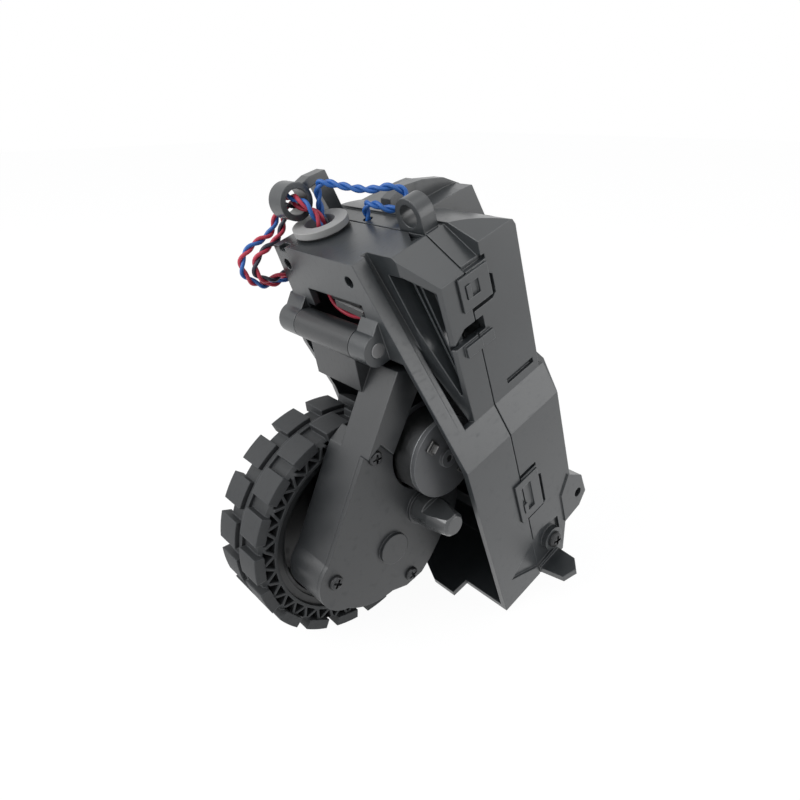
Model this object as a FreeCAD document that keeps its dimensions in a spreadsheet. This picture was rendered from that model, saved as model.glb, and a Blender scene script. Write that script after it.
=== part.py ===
import FreeCAD, Part
import math
import os

import Sketcher
from FreeCAD import Placement, Rotation, Vector

# Drive wheel module of a robot vacuum: a two-part casing, a hinged gearbox arm
# with its motor and gear train, and a lugged wheel.
# Casing frame, in which every sub-part is drawn: X goes into the casing from its
# underside face, Y across from the near wall to the far wall, Z up along the
# casing with 0 at its end face. The finished module then leans over its wheel.

doc = FreeCAD.newDocument("wheel_module")
sheet = doc.addObject("Spreadsheet::Sheet", "sizes")


def text(value):
    """The sheet expression of a size, or a plain number as text."""
    if isinstance(value, Size):
        return value.text
    return "(%.6f)" % value


class Size(float):
    """A length that also carries the sheet expression it is worked out from."""

    def __new__(cls, value, expression):
        made = super().__new__(cls, value)
        made.text = expression
        return made

    def __add__(self, other):
        return Size(float(self) + float(other), "(%s + %s)" % (text(self), text(other)))

    def __radd__(self, other):
        return Size(float(other) + float(self), "(%s + %s)" % (text(other), text(self)))

    def __sub__(self, other):
        return Size(float(self) - float(other), "(%s - %s)" % (text(self), text(other)))

    def __rsub__(self, other):
        return Size(float(other) - float(self), "(%s - %s)" % (text(other), text(self)))

    def __mul__(self, other):
        return Size(float(self) * float(other), "(%s * %s)" % (text(self), text(other)))

    def __rmul__(self, other):
        return Size(float(other) * float(self), "(%s * %s)" % (text(other), text(self)))

    def __truediv__(self, other):
        return Size(float(self) / float(other), "(%s / %s)" % (text(self), text(other)))

    def __neg__(self):
        return Size(-float(self), "(0 - %s)" % text(self))


row_count = 0


def size(alias, value, note):
    """Writes one driving dimension into the sheet and returns it."""
    global row_count
    row_count += 1
    sheet.set("A%d" % row_count, note)
    sheet.set("B%d" % row_count, str(value))
    sheet.setAlias("B%d" % row_count, alias)
    return Size(value, "sizes." + alias)


# Casing
WALL = size("wall", 2.0, "casing wall")
LENGTH = size("casing_length", 123.2, "end face to bottom face")
FAR = size("far_face", 35.4, "outside of the far wall")
SHOULDER = size("shoulder_width", 7.4, "near edge of the end face")
UPPER = size("upper_face", 17.9, "outside of the upper near wall")
LOWER = size("lower_face", 21.6, "outside of the lower near wall")
SHOULDER_DROP = size("shoulder_drop", 8.0, "height of the sloped shoulder")
RIDGE_TOP = size("ridge_top", 49.1, "upper ridge below the end face")
RIDGE_LOW = size("ridge_low", 59.0, "lower ridge below the end face")
SEAM = size("seam_depth", 18.4, "plane where the two shells meet")
SEAM_GAP = size("seam_gap", 0.45, "width and depth of the groove along the seam")
STRIP = size("strip_depth", 4.2, "depth of the slanted front strip")
GROOVE = size("groove_depth", 2.0, "recess behind the slanted strip at its top")
BLOCK_TOP = size("block_start_top", 6.4, "front of the near block at the end face")
BLOCK_LOW = size("block_start_low", 9.9, "front of the near block at the near wall")
NEAR_BACK = size("near_back", 38.0, "back of the upper near block")
LOW_BACK = size("low_back", 40.0, "back of the lower near block")
ARCH_BACK = size("arch_back", 58.5, "back of the wheel arch")
ARCH_UPPER = size("arch_upper_back", 48.2, "back of the near part of the arch")
WELL_NEAR = size("well_near", 7.2, "near side of the wheel's own arch")
ARCH_TOP = size("arch_top_radius", 43.0, "radius of the arched top of the back")
ARCH_X = size("arch_top_x", 18.0, "depth of the centre of the arched top")
WINDOW_LOW = size("window_near", 1.7, "near side of the wiring window")
WINDOW_HIGH = size("window_far", 25.5, "far side of the wiring window")
WINDOW_TOP = size("window_top", 11.4, "top of the wiring window")
PANEL_END = size("panel_end", 17.0, "lower edge of the front panel")
PORT_TOP = size("port_top", 26.5, "top of the wheel opening")
FACE_HOLE = size("face_hole", 1.6, "radius of the two fixing holes")
FACE_HOLE_DEPTH = size("face_hole_depth", 10.0, "depth of the two fixing holes")
FACE_HOLE_DROP = size("face_hole_drop", 5.2, "fixing holes below the end face")
FACE_HOLE_NEAR = size("face_hole_near", 3.7, "near fixing hole")
FACE_HOLE_FAR = size("face_hole_far", 31.5, "far fixing hole")
BOSS_WALL = size("boss_wall", 1.5, "wall round a screw hole")
POCKET_DEPTH = size("pocket_depth", 1.4, "recess before the upright ear")
NOTCH_DROP = size("notch_drop", 1.3, "notch in the edge of the end face")
RECESS_FLOOR = size("recess_floor", 13.0, "floor of the recess beside the strip")
COLLAR = size("collar_height", 0.8, "raised seat of the wire grommet")
EAR = size("ear_radius", 4.5, "outside radius of the upright ear")
EAR_HOLE = size("ear_hole", 2.9, "radius of the hole in the upright ear")
EAR_EYE = size("ear_height", 4.0, "height of that hole over the end face")
EAR_THICK = size("ear_thickness", 4.8, "thickness of the upright ear")
LEAD_HOLE = size("lead_hole", 1.4, "radius of the hole for the switch leads")
LEAD_HOLE_DEPTH = size("lead_hole_depth", 1.2, "depth of that hole")
BLOCK_BACK = size("block_back", 24.3, "back of the rear shell's near block")
TAPER = size("taper_drop", 95.0, "where the low back starts to narrow")
WELL_FRONT = size("well_front", 32.0, "front of the wheel's own arch")
EAR_ACROSS = size("ear_across", -2.1, "middle of the upright ear")
SIDE_EAR = (42.2, -104.4)
SIDE_EAR_HOLE = size("side_ear_hole", 1.7, "radius of the hole in the side ear")
HOOK = (8.6, 8.9)
HOOK_OUT = size("hook_outside", 5.0, "outside radius of the hook ring")
HOOK_IN = size("hook_inside", 3.4, "inside radius of the hook ring")
LATCH_FRONT = size("latch_front", 14.9, "front edge of the latch loops")
LATCH_BACK = size("latch_back", 25.2, "back edge of the latch loops")
LATCH_RISE = size("latch_rise", 0.7, "latch loops over the near wall")
SLOT_DEPTH = size("latch_slot_depth", 1.3, "slots round the latch loops")
UPPER_LATCH_TOP = size("upper_latch_top", 8.6, "upper latch below the end face")
UPPER_LATCH_LOW = size("upper_latch_low", 17.6, "lower end of the upper latch")
LOWER_LATCH_TOP = size("lower_latch_top", 77.6, "lower latch below the end face")
LOWER_LATCH_LOW = size("lower_latch_low", 93.4, "lower end of the lower latch")
LATCHES = (("upper", -UPPER, -UPPER_LATCH_LOW, -UPPER_LATCH_TOP),
           ("lower", -LOWER, -LOWER_LATCH_LOW, -LOWER_LATCH_TOP))
SIDE_RIB_TOP = size("side_rib_top", 26.4, "rib across the seam, below the end face")
SIDE_RIB_LOW = size("side_rib_low", 29.5, "lower edge of that rib")
SIDE_RIB_RISE = size("side_rib_rise", 0.9, "height of that rib over the near wall")
SIDE_OPENING_TOP = size("side_opening_top", 21.6, "opening over that rib")
SIDE_OPENING_LOW = size("side_opening_low", 25.6, "lower edge of that opening")
RECESS_TOP = size("recess_top", 5.0, "recess beside the strip, below the end face")
RECESS_LOW = size("recess_low", 40.2, "lower end of that recess")
BOSS_RECESS = size("boss_recess", 0.9, "depth of the recess before the screw boss")
BOSS_RECESS_TOP = size("boss_recess_top", 105.6, "top of that recess at the seam")
BOSS_RECESS_LOW = size("boss_recess_low", 119.6, "foot of that recess at the seam")
LEAN = size("lean", 18.6, "lean of the casing in degrees")

# Hinge
HINGE_X = size("hinge_x", -2.6, "hinge axis in front of the underside face")
HINGE_Z = size("hinge_z", -22.0, "hinge axis below the end face")
BARREL = size("barrel", 4.4, "outside radius of the hinge barrel")
PIN = size("hinge_pin", 2.0, "radius of the hinge pin")
BARREL_NEAR = size("barrel_near", 4.0, "near end of the arm's barrel")
BARREL_FAR = size("barrel_far", 29.0, "far end of the arm's barrel")
KNUCKLE_NEAR = size("knuckle_near", -3.0, "outer end of the near knuckle")
KNUCKLE_FAR = size("knuckle_far", 37.0, "outer end of the far knuckle")
HINGE_GAP = size("hinge_gap", 0.3, "gap between barrel and knuckle")
RUNNING = size("running_fit", 0.05, "radial clearance of a shaft in its bore")

# Wheel
WHEEL = size("wheel_radius", 36.0, "over the lugs")
TREAD = size("tread_radius", 33.8, "between the lugs")
TYRE_IN = size("tyre_inner", 28.5, "seat of the tyre on the rim")
TYRE_NEAR = size("tyre_near", 11.3, "near face of the tyre")
TYRE_WIDTH = size("tyre_width", 20.0, "tyre width")
RIB_WIDTH = size("rib_width", 1.6, "centre rib between the two rows of lugs")
LUGS = 18
LUG_HALF = size("lug_half_angle", 6.6, "half the angle of a lug in degrees")
LUG_PHASE = size("lug_phase", 69.8, "angle of the first far lug in degrees")
TRUSSES = 36
TRUSS_IN = size("truss_inner", 29.5, "inner radius of the truss pockets")
TRUSS_OUT = size("truss_outer", 32.9, "outer radius of the truss pockets")
TRUSS_DEPTH = size("truss_depth", 6.0, "depth of the truss pockets")
AXLE_X = size("axle_x", -20.9, "wheel axis")
AXLE_Z = size("axle_z", -80.3, "wheel axis")
AXLE = size("axle_radius", 2.5, "radius of the wheel axle")

# Arm
COVER_FACE = size("cover_face", -4.5, "outer face of the gearbox cover")
COVER_WALL = size("cover_wall", 1.5, "gearbox cover plate")
BOX_FAR = size("box_far", 10.6, "far face of the gearbox")
BOX_WALL = size("box_wall", 1.6, "gearbox side wall")
BOSS_FAR = size("bearing_boss_far", 14.0, "far end of the bearing boss")
BEARING = size("bearing_radius", 6.0, "outside radius of the ball bearing")
BEARING_WIDTH = size("bearing_width", 3.4, "width of the ball bearing")
BUSH = size("bush_radius", 4.0, "outside radius of the plain bush")
PRESS = size("press_fit", 0.02, "radial play of pressed parts in the model")
SWING = size("swing", 36.0, "travel of the arm in degrees")
NECK_NEAR = size("neck_near", -6.4, "near face of the arm's neck")
NECK_FAR = size("neck_far", 5.5, "far face of the arm's neck")
SCREW = size("screw_radius", 1.1, "radius of a small screw")
SCREW_HEAD = size("screw_head", 2.2, "radius of a small screw head")
SCREW_LONG = size("screw_long", 7.0, "length of a small screw under its head")

# Small parts of the casing
GROMMET = (11.4, 27.0)
GROMMET_FLANGE = size("grommet_flange", 7.8, "radius of the wire grommet's flange")
GROMMET_HOLE = size("grommet_hole", 4.3, "radius of the wire grommet's hole")
CORD_LEVEL = size("cord_level", -1.0, "floor of the grommet, where the leads come out")
PAIR = size("pair_radius", 1.1, "radius of a pair of leads")
SPRING_COIL = size("spring_coil", 2.95, "mean radius of the spring round the pin")
SPRING_WIRE = size("spring_wire", 0.35, "wire radius of that spring")
SPRING_ROOM = size("spring_room", 3.6, "radius of the spring's room in the barrel")
BOSS_SCREW = (26.3, -112.3)
SWITCH_LEADS_IN = (20.5, 18.0)
SWITCH_Y = size("switch_near", 8.0, "near end of the wheel-drop switch")
SWITCH_Z = size("switch_low", -15.4, "underside of the wheel-drop switch")
SWITCH_TILT = 6.0
LEVER_PIVOT = size("lever_pivot", 0.6, "radius of the roll that the lever turns on")

# Motor and gears
MOTOR_X = size("motor_x", 1.5, "motor axis")
MOTOR_Z = size("motor_z", -58.0, "motor axis")
CAN = size("can_radius", 12.2, "motor can")
CAN_WALL = size("can_wall", 0.9, "motor can wall")
CAN_NEAR = size("can_near", -12.5, "near end of the motor can")
CAN_FAR = size("can_far", 4.0, "far end of the motor can")
CUP = size("cup_radius", 14.0, "outside of the ring round the motor")
MOTOR_SHAFT = size("motor_shaft", 1.0, "motor shaft radius")
GEAR_SHAFT = size("gear_shaft", 1.0, "radius of the fixed gear shafts")
MODULE_1 = size("module_first", 0.5, "tooth module of the first stage")
MODULE_2 = size("module_second", 0.55, "tooth module of the second stage")
MODULE_3 = size("module_third", 0.7, "tooth module of the third stage")
BACKLASH = size("backlash", 0.16, "backlash at the pitch circle")
TEETH_MOTOR = 10
TEETH_FIRST = 40
TEETH_FIRST_PINION = 12
TEETH_SECOND = 34
TEETH_SECOND_PINION = 12
TEETH_OUTPUT = 32
doc.recompute()

PLANES = {"XY_Plane": 1.0, "XZ_Plane": -1.0, "YZ_Plane": 1.0}


class Bend:
    """An arc of an outline, through one point to the next."""

    def __init__(self, through, end):
        self.through = through
        self.end = end


def body(label):
    made = doc.addObject("PartDesign::Body", label)
    made.Label = label
    return made


def origin_feature(part, role):
    return [f for f in part.Origin.OriginFeatures if f.Role == role][0]


def sketch_on(part, name, plane, level, turn=0.0):
    """An empty sketch on one of the body's own planes, at a level along its normal."""
    made = part.newObject("Sketcher::SketchObject", name)
    made.AttachmentSupport = [(origin_feature(part, plane), "")]
    made.MapMode = "FlatFace"
    height = level * PLANES[plane]
    made.AttachmentOffset = Placement(Vector(0, 0, height), Rotation(Vector(0, 0, 1), turn))
    made.setExpression("AttachmentOffset.Base.z", text(height))
    return made


def fix(sketch, geometry, end, point):
    """Ties one end of a sketch line to the sheet."""
    for kind, value in (("DistanceX", point[0]), ("DistanceY", point[1])):
        index = sketch.addConstraint(
            Sketcher.Constraint(kind, -1, 1, geometry, end, float(value)))
        if isinstance(value, Size):
            sketch.setExpression("Constraints[%d]" % index, value.text)


def draw(sketch, outline):
    """Draws a closed outline of points and bends, each point tied to the sheet."""
    corners = [item.end if isinstance(item, Bend) else item for item in outline]
    ends = []
    for index, item in enumerate(outline):
        before = Vector(*[float(c) for c in corners[index - 1]], 0)
        after = Vector(*[float(c) for c in corners[index]], 0)
        if isinstance(item, Bend):
            through = Vector(*[float(c) for c in item.through], 0)
            leftward = (through - before).cross(after - through).z > 0
            line = Part.Arc(before, through, after) if leftward else Part.Arc(
                after, through, before)
            number = sketch.addGeometry(line, False)
            ends.append((number, 1, 2) if leftward else (number, 2, 1))
            centre = sketch.Geometry[number].Center
            chord = after - before
            across = abs(chord.x) > abs(chord.y)
            kind, value = ("DistanceY", centre.y) if across else ("DistanceX", centre.x)
            sketch.addConstraint(Sketcher.Constraint(kind, -1, 1, number, 3, value))
        else:
            number = sketch.addGeometry(Part.LineSegment(before, after), False)
            ends.append((number, 1, 2))
    for index, (number, first, last) in enumerate(ends):
        following = ends[(index + 1) % len(ends)]
        sketch.addConstraint(
            Sketcher.Constraint("Coincident", number, last, following[0], following[1]))
        fix(sketch, number, last, corners[index])


def circle(sketch, centre, radius):
    """Draws a circle, its centre and radius tied to the sheet."""
    place = Vector(float(centre[0]), float(centre[1]), 0)
    number = sketch.addGeometry(Part.Circle(place, Vector(0, 0, 1), float(radius)), False)
    fix(sketch, number, 3, centre)
    index = sketch.addConstraint(Sketcher.Constraint("Radius", number, float(radius)))
    if isinstance(radius, Size):
        sketch.setExpression("Constraints[%d]" % index, radius.text)


def fill(sketch, shape):
    """Draws what a feature needs: an outline, or circles as (centre, radius) pairs."""
    if isinstance(shape, dict):
        for centre, radius in shape["circles"]:
            circle(sketch, centre, radius)
    else:
        draw(sketch, shape)


def grow(part, kind, name, plane, shape, low, high, turn, forward):
    sketch = sketch_on(part, name + "_sketch", plane, low, turn)
    fill(sketch, shape)
    made = part.newObject(kind, name)
    made.Profile = sketch
    made.Length = float(high) - float(low)
    made.setExpression("Length", text(high - low))
    made.Reversed = forward
    part.Tip = made
    return made


def pad(part, name, plane, shape, low, high, turn=0.0):
    """Adds material from one level to another along the plane's axis."""
    return grow(part, "PartDesign::Pad", name, plane, shape, low, high, turn,
                plane == "XZ_Plane")


def cut(part, name, plane, shape, low, high, turn=0.0):
    """Takes material away from one level to another along the plane's axis."""
    return grow(part, "PartDesign::Pocket", name, plane, shape, low, high, turn,
                plane != "XZ_Plane")


def spin(part, name, outline, groove=False):
    """Turns an outline of (radius, Y) points about the body's Y axis."""
    sketch = sketch_on(part, name + "_sketch", "XY_Plane", 0.0)
    draw(sketch, outline)
    kind = "PartDesign::Groove" if groove else "PartDesign::Revolution"
    made = part.newObject(kind, name)
    made.Profile = sketch
    made.ReferenceAxis = (sketch, ["V_Axis"])
    made.Angle = 360.0
    part.Tip = made
    return made


def ring_of(part, name, features, count):
    """Repeats features round the body's Y axis."""
    made = part.newObject("PartDesign::PolarPattern", name)
    made.Originals = features
    made.Axis = (origin_feature(part, "Y_Axis"), [""])
    made.Angle = 360.0
    made.Occurrences = count
    part.Tip = made
    return made


def rectangle(left, low, right, high):
    return [(left, low), (right, low), (right, high), (left, high)]


def on_circle(centre, radius, degrees):
    """A point at an angle round a centre."""
    angle = math.radians(float(degrees))
    return (centre[0] + radius * math.cos(angle), centre[1] + radius * math.sin(angle))


HINGE = (HINGE_X, HINGE_Z)
AXIS = (AXLE_X, AXLE_Z)
MOTOR = (MOTOR_X, MOTOR_Z)


def swung(point, degrees):
    """Where a point of the arm goes when the arm swings into the casing."""
    across, up = point[0] - HINGE_X, point[1] - HINGE_Z
    angle = math.radians(float(degrees))
    return (HINGE_X + across * math.cos(angle) - up * math.sin(angle),
            HINGE_Z + across * math.sin(angle) + up * math.cos(angle))


def meeting(first, first_radius, second, second_radius):
    """The point at given distances from two centres, left of the line between them."""
    gap = math.hypot(second[0] - first[0], second[1] - first[1])
    along = (first_radius ** 2 - second_radius ** 2 + gap ** 2) / (2 * gap)
    aside = math.sqrt(first_radius ** 2 - along ** 2)
    one = ((second[0] - first[0]) / gap, (second[1] - first[1]) / gap)
    return (first[0] + one[0] * along + one[1] * aside,
            first[1] + one[1] * along - one[0] * aside)


def bearing_of(start, end):
    """Direction from one gear centre to another, in degrees."""
    return math.degrees(math.atan2(end[1] - start[1], end[0] - start[0]))


# Gear centres: the second compound gear stands beside the wheel axis, and the
# first one meshes with both it and the motor
SECOND = on_circle(AXIS, MODULE_3 * (TEETH_SECOND_PINION + TEETH_OUTPUT) / 2, 15.2)
FIRST = meeting(MOTOR, MODULE_1 * (TEETH_MOTOR + TEETH_FIRST) / 2,
                SECOND, MODULE_2 * (TEETH_FIRST_PINION + TEETH_SECOND) / 2)
FIRST = (float(FIRST[0]), float(FIRST[1]))
lean_turn = Rotation(Vector(0, 1, 0), -float(LEAN))

# The foot's tip stands on the same floor as the lowest point of the wheel
lean_sine, lean_cosine = math.sin(math.radians(LEAN)), math.cos(math.radians(LEAN))
wheel_low = AXLE_X * lean_sine + AXLE_Z * lean_cosine - WHEEL
FOOT_TIP = float((wheel_low + LENGTH * lean_cosine) / lean_sine)
sub_parts = []


def finish(part, at=(0.0, 0.0), across=0.0, turn=Rotation()):
    """Keeps a sub-part for export, with its own origin at a point of the XZ plane."""
    place = Vector(float(at[0]), float(across), float(at[1]))
    sub_parts.append((part, Placement(place, turn)))


# The outlines of the casing, seen along X, as (Y, Z) points

def strip_line(level, inward):
    """A point of the slanted strip at a height, moved toward the far wall."""
    return -UPPER * (level / RIDGE_TOP) + inward


def beside_strip(level, inward):
    """The (Y, Z) point beside the slanted strip, that far below the end face."""
    return (strip_line(level, inward), -level)


def outer_outline(near_top):
    return [(FAR, 0.0)] + near_top + [
        (-UPPER, -RIDGE_TOP), (-LOWER, -RIDGE_LOW), (-LOWER, -LENGTH), (FAR, -LENGTH)]


def inner_outline(near_top):
    return [(FAR - WALL, -WALL)] + near_top + [
        (-LOWER + WALL, -RIDGE_LOW - 0.4), (-LOWER + WALL, -LENGTH + WALL),
        (FAR - WALL, -LENGTH + WALL)]


BACK_EDGE = -3.2
SHOULDERED = [(-SHOULDER, 0.0), (-UPPER, -SHOULDER_DROP)]
SHOULDERED_IN = [(-SHOULDER + 0.8, -WALL), (-UPPER + WALL, -SHOULDER_DROP - 1.1),
                 (-UPPER + WALL, -RIDGE_TOP - 0.5)]


def seam_band(inward):
    """The casing's outer line from the end face to the near bottom corner."""
    return [(FAR, -inward), (-SHOULDER + inward / 2, -inward),
            (-UPPER + inward, -SHOULDER_DROP - inward / 2), (-UPPER + inward, -RIDGE_TOP),
            (-LOWER + inward, -RIDGE_LOW), (-LOWER + inward, -LENGTH)]


def make_front_shell():
    shell = body("front_shell")
    pad(shell, "front_frame", "YZ_Plane", outer_outline([(0.0, 0.0)]), 0.0, STRIP)
    pad(shell, "groove_web", "YZ_Plane", outer_outline([(GROOVE, 0.0)]), STRIP, BLOCK_LOW)
    pad(shell, "near_block", "YZ_Plane", outer_outline(SHOULDERED), BLOCK_TOP, SEAM)
    cut(shell, "block_slant", "XY_Plane",
        [(BLOCK_TOP - 0.5, -SHOULDER), (BLOCK_LOW, -UPPER), (BLOCK_LOW, -UPPER - 1.0),
         (BLOCK_TOP - 0.5, -UPPER - 1.0)], -RIDGE_TOP, 1.0)
    web_in = [(GROOVE + 0.55, -WALL), (-UPPER + 1.6, -RIDGE_TOP)]
    cut(shell, "front_room", "YZ_Plane", inner_outline(web_in), WALL, BLOCK_LOW + 1.6)
    cut(shell, "block_room", "YZ_Plane", inner_outline(SHOULDERED_IN), BLOCK_LOW + 1.6,
        SEAM)
    cut(shell, "wheel_port", "YZ_Plane",
        [(FAR - WALL, -PORT_TOP), (BARREL_FAR, -PORT_TOP), (BARREL_FAR, -PANEL_END),
         (WINDOW_HIGH, -PANEL_END), (WINDOW_HIGH, -WINDOW_TOP), (WINDOW_LOW, -WINDOW_TOP),
         (WINDOW_LOW, -PANEL_END), (BARREL_NEAR, -PANEL_END), (BARREL_NEAR, -PORT_TOP),
         (strip_line(PORT_TOP, 1.6), -PORT_TOP), (-UPPER + 1.6, -RIDGE_TOP),
         (-LOWER + WALL, -RIDGE_LOW - 0.4), (-LOWER + WALL, -LENGTH + WALL),
         (FAR - WALL, -LENGTH + WALL)], 0.0, WALL)
    neck = [(HINGE_X, HINGE_Z + BARREL), (0.0, HINGE_Z + 7.0), (WALL, HINGE_Z + 7.0),
            (WALL, HINGE_Z - 4.5), (HINGE_X, HINGE_Z - BARREL)]
    cut(shell, "strip_recess", "YZ_Plane",
        [beside_strip(RECESS_TOP, -2.4), beside_strip(RECESS_LOW, -1.3),
         (-UPPER + 1.4, -RECESS_LOW), (-UPPER + 1.4, -RECESS_TOP - 4.4),
         (-SHOULDER - 1.6, -RECESS_TOP)], GROOVE, RECESS_FLOOR)
    pad(shell, "recess_floor", "YZ_Plane",
        [beside_strip(RECESS_TOP - 2.0, 0.0), beside_strip(RECESS_LOW + 5.8, 0.0),
         (-UPPER + 0.4, -RECESS_LOW - 5.8), (-UPPER + 0.4, -RECESS_TOP - 3.6),
         (-SHOULDER, -RECESS_TOP + 2.0)], RECESS_FLOOR, RECESS_FLOOR + 1.4)
    for number, (top, low, short) in enumerate(((-4.2, -2.3, 2.2), (-6.6, -3.9, 6.2))):
        pad(shell, "recess_rib_%d" % number, "YZ_Plane",
            [beside_strip(RECESS_TOP + 1.0, top), beside_strip(RECESS_TOP + 1.0, top - 0.7),
             beside_strip(RECESS_LOW - short, low - 0.7), beside_strip(RECESS_LOW - short, low)],
            RECESS_FLOOR - 2.6, RECESS_FLOOR + 0.4)
    cut(shell, "seam_line", "YZ_Plane", seam_band(0.0) + seam_band(SEAM_GAP)[::-1],
        SEAM - SEAM_GAP, SEAM)
    cut(shell, "ear_pocket", "XY_Plane",
        [(SEAM - 4.0, -SHOULDER + 1.4), (SEAM - 0.6, -1.2), (SEAM - 0.6, -SHOULDER + 0.6)],
        -POCKET_DEPTH, 0.0)
    cut(shell, "edge_notch", "YZ_Plane",
        rectangle(FAR - 5.6, -NOTCH_DROP, FAR - 2.6, 0.0), 0.0, STRIP - WALL)
    for side, low, high in (("near", KNUCKLE_NEAR, BARREL_NEAR - HINGE_GAP),
                            ("far", BARREL_FAR + HINGE_GAP, KNUCKLE_FAR)):
        pad(shell, side + "_knuckle", "XZ_Plane", {"circles": [(HINGE, BARREL)]}, low, high)
        pad(shell, side + "_knuckle_neck", "XZ_Plane", neck, low, high)
    pad(shell, "far_wall_lip", "XZ_Plane",
        [(0.5, -20.0), (-3.0, -25.0), (-3.0, -30.0), (0.5, -52.0)], FAR - WALL, FAR)
    pad(shell, "foot", "XY_Plane",
        [(0.5, -3.6), (FOOT_TIP, -3.3), (FOOT_TIP, 6.1), (-2.7, 13.6), (0.5, 16.0)],
        -LENGTH, -LENGTH + WALL)
    pad(shell, "hole_bosses", "YZ_Plane", {"circles": [
        ((FACE_HOLE_NEAR, -FACE_HOLE_DROP), FACE_HOLE + BOSS_WALL),
        ((FACE_HOLE_FAR, -FACE_HOLE_DROP), FACE_HOLE + BOSS_WALL)]},
        0.5, FACE_HOLE_DEPTH + 1.0)
    cut(shell, "face_holes", "YZ_Plane", {"circles": [
        ((FACE_HOLE_NEAR, -FACE_HOLE_DROP), FACE_HOLE),
        ((FACE_HOLE_FAR, -FACE_HOLE_DROP), FACE_HOLE)]}, 0.0, FACE_HOLE_DEPTH)
    cut(shell, "pin_bore", "XZ_Plane", {"circles": [(HINGE, PIN + RUNNING)]},
        KNUCKLE_NEAR, KNUCKLE_FAR)
    pad(shell, "grommet_collar", "XY_Plane",
        {"circles": [(GROMMET, SEAM - SEAM_GAP - GROMMET[0] - 0.1)]}, -0.5, COLLAR)
    cut(shell, "wire_hole", "XY_Plane", {"circles": [(GROMMET, GROMMET_HOLE + 0.9)]},
        -WALL, COLLAR)
    cut(shell, "spring_hole", "XZ_Plane",
        {"circles": [(on_circle(HINGE, SPRING_COIL, 90.0), SPRING_WIRE + 0.1)]},
        BARREL_NEAR - 3.0, BARREL_NEAR - HINGE_GAP)
    for name, face, low, _ in LATCHES:
        pad(shell, name + "_catch", "XZ_Plane",
            rectangle(SEAM - 1.6, low + 3.0, SEAM - 0.1, low + 6.6), face - 1.0, face + 0.5)
    pad(shell, "latch_rib", "XZ_Plane", rectangle(12.6, -SIDE_RIB_LOW, SEAM, -SIDE_RIB_TOP),
        -UPPER - SIDE_RIB_RISE, -UPPER + 0.5)
    cut(shell, "latch_opening", "XZ_Plane",
        [(7.6, -SIDE_OPENING_LOW), (SEAM, -SIDE_OPENING_LOW), (SEAM, -SIDE_OPENING_TOP),
         (14.0, -SIDE_OPENING_TOP)], -UPPER, -UPPER + WALL)
    cut(shell, "boss_recess", "XZ_Plane",
        [(5.4, -112.6), (SEAM, -BOSS_RECESS_TOP), (SEAM, -BOSS_RECESS_LOW)],
        -LOWER, -LOWER + BOSS_RECESS)
    finish(shell)


def arch_point(x):
    """Height of the arched top at a depth."""
    drop = ARCH_TOP * ARCH_TOP - (x - ARCH_X) * (x - ARCH_X)
    return -(ARCH_TOP - 1.0) + math.sqrt(float(drop))


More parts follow.
